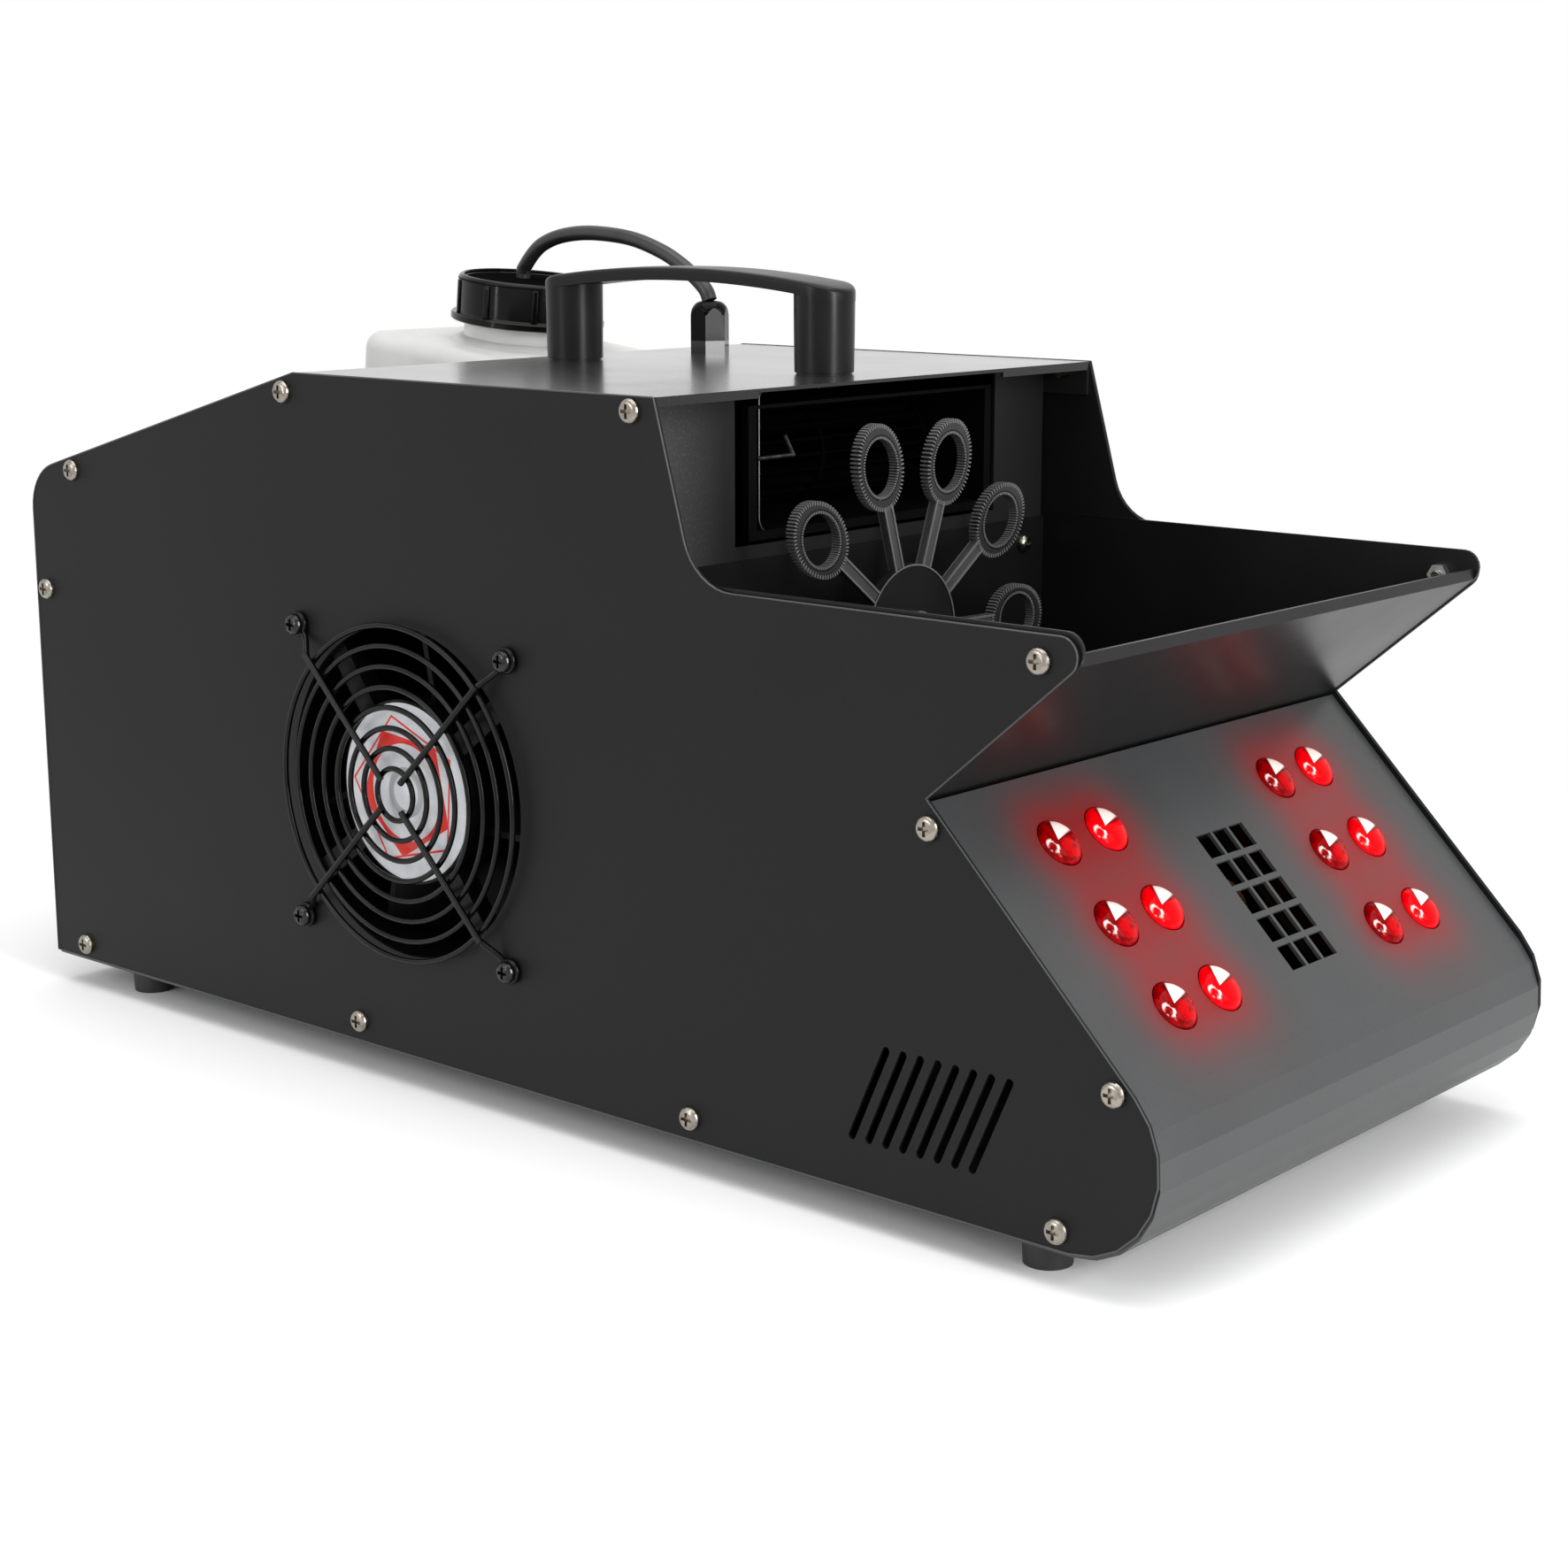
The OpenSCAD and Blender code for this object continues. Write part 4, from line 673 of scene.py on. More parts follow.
class FOG_OT_stage(bpy.types.Operator):
    """Camera, pale floor and soft studio light"""

    bl_idname = "fog.stage"
    bl_label = "Stage"

    def execute(self, context):
        stage = settings_of("stage")
        context.scene.view_settings.view_transform = "Standard"
        self.camera(context.scene, settings_of("camera"))
        self.room(context.scene, stage)
        self.floor(stage)
        for name, (place, target, size, power, share) in LIGHTS.items():
            soft_light(name, place, target, size, getattr(stage, power) * share)
        return {"FINISHED"}

    def camera(self, scene, look):
        data = bpy.data.cameras.new("camera")
        data.sensor_fit = "AUTO"
        data.sensor_width = look.sensor
        data.lens = look.lens
        data.clip_start = look.clip_near
        camera = bpy.data.objects.new("camera", data)
        scene.collection.objects.link(camera)
        camera.location = look.place
        camera.rotation_euler = (QUARTER - look.tip, 0, look.turn)
        scene.camera = camera

    def room(self, scene, stage):
        room = bpy.data.worlds.new("room")
        room.use_nodes = True
        tree = room.node_tree
        tone = between(tree, seen_by_eye(tree), shade(stage.backdrop, stage.room), tuple(stage.backdrop))
        tree.links.new(tone, tree.nodes["Background"].inputs["Color"])
        scene.world = room

    def floor(self, stage):
        work = bmesh.new()
        bmesh.ops.create_circle(work, segments=64, radius=FLOOR_REACH, cap_ends=True)
        bmesh.ops.translate(work, verts=work.verts, vec=(0, 0, CAD_BOX[0].z))
        floor = new_piece("floor", work)
        floor.data.materials.append(self.floor_finish(stage))

    def floor_finish(self, stage):
        """Matt floor that takes shadows near the object, and shows as the backdrop further out."""
        material, tree, shader, coords = start_finish("floor", stage.backdrop, 1.0, gloss=0.0)
        lit = node(tree, "ShaderNodeEmission")
        lit.inputs["Color"].default_value = (*stage.backdrop, 1)
        away = spread(tree, away_from(tree, coords), 0, 1, stage.shown * FADE_START, stage.shown)
        shown = calculate(tree, "MULTIPLY", away, seen_by_eye(tree))
        mixed = node(tree, "ShaderNodeMixShader")
        for socket, source in zip(mixed.inputs, (shown, shader.outputs[0], lit.outputs[0])):
            tree.links.new(source, socket)
        tree.links.new(mixed.outputs[0], tree.nodes["Material Output"].inputs["Surface"])
        return material


# --- sheet metal ------------------------------------------------------------------------------

# Corners this near to a panel's outer face lie in it
FLUSH = 1e-5
# Level of the lamps' painted glow on their panel at which it stops rising, and at which the paint is wholly
# tinted by painted red light
GLOW_MOST, GLOW_TINT_MOST = 1.6, 0.9
# Strength of the painted glow that the lamp panel sends out
GLOW_STRENGTH = 0.14


class CaseSettings(bpy.types.PropertyGroup):
    # Painted shade on the front wall: where it starts and ends across the case
    wall_painted_shade: several(
        "Wall painted shade", "Places across the case between which the front wall darkens", (-0.105, -0.06), "LENGTH"
    )
    # Painted highlight along the side panels' edges, partly worn paint
    edge_highlight_paint: tint("Edge highlight and wear", "Worn paint on the edges", (0.045, 0.045, 0.046))
    edge: metres("Edge", "Radius of the bright edge of a side panel", 0.00028)
    side: tint("Side paint", "Paint of the side panels", (0.006, 0.006, 0.0063))
    inside: tint("Inner paint", "Paint of the tray", (0.006, 0.006, 0.0062))
    wall: tint("Front wall", "Coarse paint of the front wall", (0.07, 0.07, 0.071))
    lamp_panel: tint("Lamp panel", "Paint of the curved lamp panel", (0.042, 0.043, 0.0445))
    top: tint("Top paint", "Paint of the top cover", (0.012, 0.012, 0.0125))
    # Painted light: the red light of the lamps on their panel is painted into its colour and glow
    glow: tint("Lamp glow", "Light of the lamps on their panel", (1.0, 0.0, 0.004))
    glow_reach: metres("Glow reach", "Distance over which the glow falls off", 0.0148)


def lamp_centres():
    """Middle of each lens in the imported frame, from the top row down."""
    found = [centre_of(corners) for corners in islands(NODES["led_lenses"])]
    return sorted(found, key=lambda centre: (-centre.z, centre.y))


class FOG_OT_case(bpy.types.Operator):
    """Paint of every sheet-metal part"""

    bl_idname = "fog.case"
    bl_label = "Case"

    def execute(self, context):
        case = settings_of("case")
        side = powder_coat("side panel paint", case.side, 0.46, gloss=0.17)[0]
        dress(side, "side_panel_near", "side_panel_far", "rear_panel")
        dress(self.cover_finish(case), "top_cover")
        inside = powder_coat("inner paint", case.inside, 0.34, gloss=0.2)[0]
        dress(inside, "bubble_tray", "tank_bay")
        dress(self.wall_finish(case), "bulkhead")
        # Black matte inside the blower: painted shade of the duct's dark inside
        dress(moulded("duct lining black as painted shade", grey(0.002), 0.6, gloss=0.05), "blower_housing")
        dress(self.lamp_panel_finish(case), "base_wrap")
        # Pale lines along the side panels' edges: painted highlight, partly worn paint
        edge_highlight_and_wear = moulded("edge highlight and wear paint", case.edge_highlight_paint, 0.35, gloss=0.4)
        self.edge_line("panel_edge_highlight_1", "side_panel_near", -1, case.edge, edge_highlight_and_wear)
        self.edge_line("panel_edge_highlight_2", "side_panel_far", 1, case.edge, edge_highlight_and_wear)
        return {"FINISHED"}

    def edge_line(self, name, panel_name, outward, radius, edge_highlight_and_wear):
        """Thin pale line along the outer edge of a side panel's outer face: a painted edge highlight, partly
        worn paint.
        """
        panel = merged(NODES[panel_name])
        face_y = outward * max(outward * vert.co.y for vert in panel.verts)

        def on_rim(edge):
            """Whether an edge bounds the outer face."""
            outer = [face for face in edge.link_faces if face.normal.y * outward > 0.99]
            flush = all(abs(vert.co.y - face_y) < FLUSH for vert in edge.verts)
            return len(outer) == 1 and len(edge.link_faces) == 2 and flush

        rims = [edge for edge in panel.edges if on_rim(edge)]
        loops = groups(rims, lambda edge: edges_of(edge.verts))
        longest = max(loops, key=lambda loop: sum(edge.calc_length() for edge in loop))
        work = bmesh.new()
        for edge in longest:
            sweep(work, [vert.co.copy() for vert in edge.verts], radius, 6)
        panel.free()
        finished(name, work, [edge_highlight_and_wear], "case", 50)

    def cover_finish(self, case):
        """Glossy paint whose clear layer lies on the level faces alone."""
        material, tree, shader, _ = powder_coat(
            "top cover paint", case.top, 0.24, 0.000006, gloss=0.3, coat=1.0
        )
        upward = apart(tree, node(tree, "ShaderNodeNewGeometry").outputs["Normal"])[2]
        tree.links.new(spread(tree, upward, 0, 0.8, 0.3, 0.8), shader.inputs["Coat Weight"])
        return material

    def wall_finish(self, case):
        """Coarse powder coat with pale specks, and painted shade that darkens it across the case."""
        material, tree, shader, coords = powder_coat(
            "front wall paint", case.wall, 0.5, 0.00004, gloss=0.2
        )
        tone = shader.inputs["Base Color"].links[0].from_socket
        specks = spread(tree, noise(tree, coords, 1100, 1), 0, 0.5, 0.55, 0.72)
        specked = between(tree, specks, tone, shade(case.wall, 2.6))
        # Painted shade: the wall's colour falls to a dark share of itself across the case
        across = spread(tree, apart(tree, coords)[1], 0, 1, *case.wall_painted_shade)
        tree.links.new(between(tree, across, specked, shade(case.wall, 0.14)), shader.inputs["Base Color"])
        return material

    def lamp_panel_finish(self, case):
        """Paint with the lamps' red light painted on: it turns deep red near each lens and sends out a painted
        glow of its own.
        """
        material, tree, shader, coords = powder_coat("lamp panel paint", case.lamp_panel, 0.4, gloss=0.4)
        tone = shader.inputs["Base Color"].links[0].from_socket
        glow = None
        # Painted red light: a pool round each lens, which tints the paint and makes it glow
        for centre in lamp_centres():
            past = calculate(tree, "DIVIDE", away_from(tree, coords, centre), case.glow_reach)
            past = calculate(tree, "MULTIPLY", calculate(tree, "POWER", past, 2.0), -1.0)
            fall = calculate(tree, "EXPONENT", past)
            glow = fall if glow is None else calculate(tree, "ADD", glow, fall)
        glow = calculate(tree, "MINIMUM", glow, GLOW_MOST)
        glow_tinted = calculate(tree, "MINIMUM", glow, GLOW_TINT_MOST)
        glow_tinted = between(tree, glow_tinted, tone, shade(case.glow, 0.12))
        tree.links.new(glow_tinted, shader.inputs["Base Color"])
        shader.inputs["Emission Color"].default_value = (*case.glow, 1)
        strength = calculate(tree, "MULTIPLY", glow, GLOW_STRENGTH)
        tree.links.new(strength, shader.inputs["Emission Strength"])
        return material


# --- the rest of the frame --------------------------------------------------------------------


class FOG_OT_fittings(bpy.types.Operator):
    """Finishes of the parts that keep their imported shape"""

    bl_idname = "fog.fittings"
    bl_label = "Fittings"

    def execute(self, context):
        self.metals()
        self.plastics()
        self.electrics()
        return {"FINISHED"}

    def metals(self):
        nickel = plated("nickel screws", (0.33, 0.3, 0.26), 0.2, (0.14, 0.12, 0.09), 0.5)
        dress(nickel, "panel_screws", "tray_screws")
        zinc = plated("zinc steel", (0.55, 0.55, 0.54), 0.32, (0.3, 0.3, 0.28))
        dress(
            zinc, "fan_nuts", "wheel_shaft", "heater_stands", "handle_screws", "foot_screws", "cheek_nuts",
            "pump_plunger",
        )
        dress(plated("hook wire", grey(0.06), 0.4), "wire_hook")
        dress(plated("nozzle brass", (0.62, 0.45, 0.2), 0.25, (0.3, 0.2, 0.1)), "fog_nozzle")
        dress(rolled_alloy("supply case alloy", (0.6, 0.6, 0.61), 0.35), "power_supply")
        dress(rolled_alloy("heater alloy", grey(0.5), 0.45), "heater_block", "heater_jacket")
        motor = powder_coat("motor paint", (0.1, 0.102, 0.105), 0.4)[0]
        dress(motor, "blower_motor", "gear_motor", "pump_body")

    def plastics(self):
        lacquer = moulded("guard screw lacquer", grey(0.003), 0.16, 0.00001, 900, gloss=0.4)
        dress(lacquer, "fan_guard", "guard_screws")
        dress(moulded("fan plastic", grey(0.003), 0.3, gloss=0.12), "fan_frame", "fan_rotor")
        # Black matte rotor: painted shade, so that the rotor stays as dark as the duct's inside
        dress(moulded("rotor black as painted shade", grey(0.0015), 0.6, gloss=0.0), "blower_rotor")
        dress(moulded("fan label", (0.6, 0.6, 0.62), 0.35), "fan_label")
        dress(moulded("wheel plastic", grey(0.02), 0.4), "wand_wheel")
        dress(moulded("gland plastic", grey(0.003), 0.08, gloss=0.4), "gland_body", "gland_nut")
        dress(moulded("cap plastic", grey(0.003), 0.1, gloss=0.3), "jug_cap")
        dress(moulded("jug plastic", (0.72, 0.72, 0.7), 0.35), "jug")
        dress(rubber("foot rubber", grey(0.014)), "feet")
        dress(rubber("hose rubber", grey(0.012), 0.4), "inner_hose", "suction_hose", "dip_tube")
        dress(clear_tube("feed tube", (0.8, 0.8, 0.76)), "feed_tube")

    def electrics(self):
        dress(
            moulded("socket plastic", grey(0.012), 0.35),
            "power_inlet", "fuse_holder", "fuse_cap", "switch_frame", "signal_in", "signal_out",
        )
        dress(
            moulded("key plastic", (0.03, 0.03, 0.032), 0.4),
            "button_menu", "button_up", "button_down", "button_enter",
        )
        dress(moulded("rocker plastic", (0.45, 0.01, 0.01), 0.2), "switch_rocker")
        dress(moulded("display window", (0.01, 0.014, 0.02), 0.06), "display_window")
        dress(moulded("thermostat plastic", grey(0.02), 0.5), "thermostats")
        # Black solder mask, made black as painted shade behind the lamp panel, where the slots show black
        dress(circuit("lamp board black mask as painted shade", grey(0.004), (0.006, 0.006, 0.005), 0.6, 0.1), "led_board")
        dress(circuit("control board", (0.01, 0.09, 0.035), (0.02, 0.16, 0.07)), "control_board")
        dress(moulded("lamp chips", (0.85, 0.7, 0.25), 0.3), "led_chips")
        dress(moulded("lens plastic", (0.7, 0.004, 0.004), 0.1), "led_lenses")


# --- lamp lenses ------------------------------------------------------------------------------

# Width of the square that a lens's UV map covers, in lens radii
UV_SPAN = 4
# Radii of a lens's rim and of its dome's foot, as shares of the lens's radius
RIM_SHARE, DOME_SHARE = 1.03, 0.985


class LensSettings(bpy.types.PropertyGroup):
    radius: metres("Radius", "Radius of a lens", 0.0081)
    rise: metres("Rise", "Height of the dome over its rim", 0.0042)
    rim: metres("Rim", "Thickness of the rim", 0.0008)
    red: tint("Red", "Colour of a lit lens", (0.8, 0.0, 0.003))
    # The bright wedge is a painted highlight that sends out light; the chip's outline is the lamp's chip seen
    # through the dome
    pale: tint("Pale", "Colour of the bright wedge and of the chip's outline", (0.9, 0.72, 0.68))
    shine: tint("Shine", "Light that the bright wedge and the chip's outline send out", (0.5, 0.4, 0.36))
    # The dark edge is painted shade round the foot of the dome
    edge: level("Edge", "Share of the dome's height that is dark edge", 0.18)
    slant: several(
        "Slant", "Lean of the sight line to the lamp's back, across and up, per height", (1.49, 0.38)
    )
    tip: several("Wedge tip", "Tip of the bright wedge, in lens radii", (0.24, 0.16))
    lean: degrees("Wedge lean", "Direction of the wedge from straight up", 45)
    opening: degrees("Wedge opening", "Half angle of the wedge", 30)
    chip: several("Chip", "Middle of the chip behind the dome, in lens radii", (-0.27, -0.02))
    chip_size: level("Chip size", "Radius of the chip's bright outline, in lens radii", 0.25)


class FOG_OT_lenses(bpy.types.Operator):
    """Domed red lenses of the twelve lamps"""

    bl_idname = "fog.lenses"
    bl_label = "Lamp lenses"

    def execute(self, context):
        lens = settings_of("lens")
        centres = lamp_centres()
        axes = self.lamp_axes(centres)
        out = axes[0]
        domes = [self.dome_finish(lens, light) for light in (False, True)]
        # Dark red rim: the lens's flange, painted dark as shade
        rim = moulded("lens rim dark as painted shade", (0.09, 0.0, 0.001), 0.2, gloss=0.1)
        outermost = max(vert.co.dot(out) for vert in NODES["led_lenses"].data.vertices)
        for number, centre in enumerate(centres, 1):
            base = centre + out * (outermost - lens.rise - centre.dot(out))
            materials = [domes[(number + 1) % 2], rim]
            self.lens_piece(number, base, axes, lens, materials)
        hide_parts("led_lenses")
        return {"FINISHED"}

    def lamp_axes(self, centres):
        """Outward normal, direction up the panel and direction along a row, of the plane of the lenses."""
        row = Vector((0, 1, 0))
        up = centres[0] - centres[-1]
        up = (up - row * up.dot(row)).normalized()
        return row.cross(up).normalized(), up, row

    def lens_piece(self, number, base, axes, lens, materials):
        """Rim and dome, with a UV map that follows the sight line through the dome."""
        out, up, row = axes
        rim, foot = row * lens.radius * RIM_SHARE, row * lens.radius * DOME_SHARE
        profile = [base - out * lens.rim + rim, base + rim]
        for turn in quarter_turn(9):
            profile.append(base + out * lens.rise * math.sin(turn) + foot * math.cos(turn))
        work = bmesh.new()
        turned(work, profile, base, out, 40)
        bmesh.ops.recalc_face_normals(work, faces=work.faces)
        layer = work.loops.layers.uv.new("UVMap")
        for face in work.faces:
            # The dome's lowest band takes the rim's dark finish: painted shade at the lens's foot
            face.material_index = int((face.calc_center_median() - base).dot(out) < lens.rise * lens.edge)
            for loop in face.loops:
                reach = (loop.vert.co - base) / lens.radius
                across = reach.dot(row) + reach.dot(out) * lens.slant[0]
                rise = reach.dot(up) + reach.dot(out) * lens.slant[1]
                loop[layer].uv = (0.5 + across / UV_SPAN, 0.5 + rise / UV_SPAN)
        return finished(f"lamp_lens_{number:02d}", work, materials, "case", 40)

    def dome_finish(self, lens, light):
        """Lit red dome over the faces of its lamp: a white wedge that is a painted highlight, the chip's bright
        outline, dark seams.
        """
        name = "lens dome light" if light else "lens dome dark"
        material, tree, shader, _ = start_finish(name, lens.red, 0.1, gloss=0.06)
        uv = node(tree, "ShaderNodeTexCoord").outputs["UV"]
        shift = (-UV_SPAN / 2, -UV_SPAN / 2, 0)
        local = mapped(tree, uv, Location=shift, Scale=(UV_SPAN, UV_SPAN, 0))
        parts = apart(tree, local)
        across = calculate(tree, "SUBTRACT", parts[0], lens.tip[0])
        rise = calculate(tree, "SUBTRACT", parts[1], lens.tip[1])
        angle = calculate(tree, "SUBTRACT", calculate(tree, "ARCTAN2", across, rise), lens.lean)
        off = calculate(tree, "ABSOLUTE", angle)
        # Painted highlight: a white wedge that also glows, set by the UV map that follows the sight line
        wedge = spread(tree, off, 1, 0, lens.opening - 0.06, lens.opening + 0.06)
        seam = spread(tree, off, 1, 0, lens.opening + 0.1, lens.opening + 0.3)
        chip = away_from(tree, local, (*lens.chip, 0))
        outline = calculate(tree, "ABSOLUTE", calculate(tree, "SUBTRACT", chip, lens.chip_size))
        outline = spread(tree, outline, 1, 0, 0.02, 0.1)
        broken = spread(tree, noise(tree, local, 3.4, 2), 0, 1, 0.44, 0.56)
        bright = calculate(tree, "MAXIMUM", wedge, calculate(tree, "MULTIPLY", outline, broken))
        left = tuple(lens.red) if light else shade(lens.red, 0.3)
        right = shade(lens.red, 0.85 if light else 0.5)
        tone = between(tree, spread(tree, angle, 0, 1, -0.1, 0.1), left, right)
        mottle = spread(tree, noise(tree, local, 2.2, 3), 0.7, 0, 0.4, 0.52)
        mottle = calculate(tree, "MULTIPLY", mottle, 0.4 if light else 1.0)
        tone = between(tree, mottle, tone, shade(lens.red, 0.1))
        tone = between(tree, calculate(tree, "MULTIPLY", seam, 0.8), tone, shade(lens.red, 0.06))
        tree.links.new(between(tree, bright, tone, tuple(lens.pale)), shader.inputs["Base Color"])
        tree.links.new(between(tree, bright, tone, tuple(lens.shine)), shader.inputs["Emission Color"])
        shader.inputs["Emission Strength"].default_value = 0.4
        return material


# --- bubble wheel -----------------------------------------------------------------------------

# Slots of the wheel's second and third material: pale painted highlights on teeth, ridges and rims, and arms
# painted lighter as lit
PAINTED_HIGHLIGHT_SLOT, LIT_ARM_SLOT = 1, 2


class WheelSettings(bpy.types.PropertyGroup):
    arms: count("Rings", "Rings round the wheel", 10)
    phase: degrees("Phase", "Turn of the first ring", -1.2)
    reach: metres("Reach", "From the axle to the middle of a ring", 0.0597)
    length: metres("Ring length", "Length of a ring, outwards", 0.0295)
    width: metres("Ring width", "Width of a ring, around", 0.0233)
    rim: metres("Rim", "Width of a ring's wall at its sides", 0.0033)
    rim_end: metres("End rim", "Width of a ring's wall at its ends", 0.005)
    depth: metres("Depth", "Thickness of the wheel", 0.0034)
    teeth: count("Teeth", "Teeth round a ring", 64)
    tooth: metres("Tooth", "Height of a tooth", 0.0013)
    arm: metres("Arm", "Width of an arm", 0.0046)
    hub: metres("Hub", "Radius of the hub", 0.0236)
    boss: metres("Boss", "Radius of the boss in the hub", 0.008)
    boss_depth: metres("Boss depth", "How much thicker than the wheel the boss is", 0.006)
    # The bright rims are painted highlights
    hub_rim: metres("Hub rim", "Width of the bright rim of the hub and of the boss", 0.0006)
    hub_sink: metres("Hub sink", "Depth of the hub's face below its rim", 0.0004)


class FOG_OT_wheel(bpy.types.Operator):
    """Bubble wheel with toothed rings, ridged arms and a rimmed hub"""

    bl_idname = "fog.wheel"
    bl_label = "Bubble wheel"

    def execute(self, context):
        wheel = settings_of("wheel")
        upright = Matrix.Rotation(QUARTER, 4, "Z") @ Matrix.Rotation(QUARTER, 4, "X")
        plane = Matrix.Translation(joint("wheel_spin")["pos_m"]) @ upright
        work = bmesh.new()
        for k in range(wheel.arms):
            turn = Matrix.Rotation(wheel.phase + math.tau * k / wheel.arms, 4, "Z")
            self.ring(work, wheel, turn @ Matrix.Translation((wheel.reach, 0, 0)))
            self.arm(work, wheel, turn)
        settle(work, plane)
        plastic = moulded("wheel plastic", (0.02, 0.02, 0.021), 0.36, 0.00002, 1400, gloss=0.3)
        # Painted highlights in pale plastic, and arms painted lighter than the rings as if lit
        pale = moulded("wheel painted highlights", (0.12, 0.12, 0.122), 0.4, 0.00002, 1400)
        arm = moulded("arm plastic painted lighter", (0.05, 0.05, 0.051), 0.4, 0.00004, 900)
        piece = finished("bubble_wheel", work, [plastic, pale, arm], "wheel", 35)
        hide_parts("wand_wheel")
        work = bmesh.new()
        self.hub(work, wheel)
        settle(work, plane)
        dark = moulded("hub plastic", grey(0.012), 0.3, 0.00002, 1400, gloss=0.3)
        finished("wheel_hub", work, [dark, pale], "wheel", 35)
        return {"FINISHED"}

    def ring(self, work, wheel, place):
        """Oval ring with fine ribs across its outer and inner walls, painted pale as highlights."""
        before = set(work.verts)
        outer = (wheel.length / 2, wheel.width / 2)
        inner = (outer[0] - wheel.rim_end, outer[1] - wheel.rim)
        walls = []
        for radii, growth in ((outer, -wheel.tooth), (inner, wheel.tooth * 0.6)):
            size = Matrix.Diagonal((radii[0] + growth, radii[1] + growth, 1, 1))
            walls.append(circle(work, 1, 96, size))
        faces = bmesh.ops.bridge_loops(work, edges=walls[0] + walls[1])["faces"]
        flat = [vert for vert in work.verts if vert not in before]
        bmesh.ops.translate(work, verts=flat, vec=(0, 0, -wheel.depth / 2))
        grown = bmesh.ops.extrude_face_region(work, geom=faces)["geom"]
        upper = [part for part in grown if isinstance(part, bmesh.types.BMVert)]
        bmesh.ops.translate(work, verts=upper, vec=(0, 0, wheel.depth))
        for k in range(wheel.teeth):
            turn = math.tau * k / wheel.teeth
            self.tooth(work, wheel, outer, turn, -0.5)
            self.tooth(work, wheel, inner, turn, 0.5)
        made = [vert for vert in work.verts if vert not in before]
        bmesh.ops.transform(work, matrix=place, verts=made)

    def tooth(self, work, wheel, radii, turn, sink):
        """Tooth square to an oval wall; sink says how far out its middle lies, in tooth heights."""
        spot = Vector((radii[0] * math.cos(turn), radii[1] * math.sin(turn), 0))
        way = Vector((math.cos(turn) / radii[0], math.sin(turn) / radii[1], 0)).normalized()
        spot += way * wheel.tooth * sink
        lean = Matrix.Rotation(math.atan2(way.y, way.x), 4, "Z")
        size = (wheel.tooth * 1.1, wheel.tooth * 0.42, wheel.depth)
        paint(faces_of(block(work, Matrix.Translation(spot) @ lean, size)), PAINTED_HIGHLIGHT_SLOT)

    def arm(self, work, wheel, turn):
        """Arm with a raised ridge along each edge; the arm is painted lighter as lit and its ridges pale as
        painted highlights.
        """
        start, end = wheel.hub * 0.99, wheel.reach - wheel.length / 2 + wheel.rim_end * 0.5
        bars = ((0, 1, 0.7, LIT_ARM_SLOT), (-0.42, 0.16, 0.98, PAINTED_HIGHLIGHT_SLOT), (0.42, 0.16, 0.98, PAINTED_HIGHLIGHT_SLOT))
        for across, wide, deep, slot in bars:
            place = turn @ Matrix.Translation(((start + end) / 2, across * wheel.arm, 0))
            size = (end - start, wheel.arm * wide, wheel.depth * deep)
            paint(faces_of(block(work, place, size)), slot)

    def hub(self, work, wheel):
        """Hub and boss, each with a rim painted bright as a highlight round a face that lies lower."""
        for radius, depth in ((wheel.hub, wheel.depth), (wheel.boss, wheel.depth + wheel.boss_depth)):
            made = bmesh.ops.create_cone(
                work, cap_ends=True, segments=64, radius1=radius, radius2=radius, depth=depth
            )["verts"]
            caps = [face for face in faces_of(made) if len(face.verts) > 4]
            rim = bmesh.ops.inset_region(work, faces=caps, thickness=wheel.hub_rim, depth=0)["faces"]
            paint(rim, PAINTED_HIGHLIGHT_SLOT)
            bmesh.ops.inset_region(work, faces=caps, thickness=0.0002, depth=-wheel.hub_sink)


# --- side fan ---------------------------------------------------------------------------------

# Turn of the label's red pentagon and of its thin one, and the softness of printed edges
PRINT_TURN, LINE_TURN = math.radians(48), math.radians(104)
BLUR = 0.2 * MM


class FanSettings(bpy.types.PropertyGroup):
    rings: count("Rings", "Rings of the finger guard", 8)
    pitch: metres("Pitch", "Distance between two rings", 0.007)
    largest: metres("Largest", "Radius of the outer ring", 0.058)
    ring_wire: metres("Ring wire", "Radius of a ring's wire", 0.001)
    leg_wire: metres("Leg wire", "Radius of a leg's wire", 0.00115)
    weld: metres("Weld", "How deep the rings sink into the legs", 0.0003)
    loop: metres("Loop", "Radius of a leg's loop", 0.00335)
    print_side: metres("Print side", "Middle of the label to a side of its red pentagon", 0.0187)
    print_bore: metres("Print bore", "Radius of the round middle of the pentagon", 0.0168)
    line_side: metres("Line side", "Middle of the label to a side of its thin pentagon", 0.0215)
    grey_ring: metres("Grey ring", "Radius of the label's grey ring", 0.0075)
    paper: tint("Label", "Silver of the label", (0.66, 0.67, 0.7))
    print_red: tint("Label red", "Red of the label's pentagons", (0.72, 0.02, 0.01))


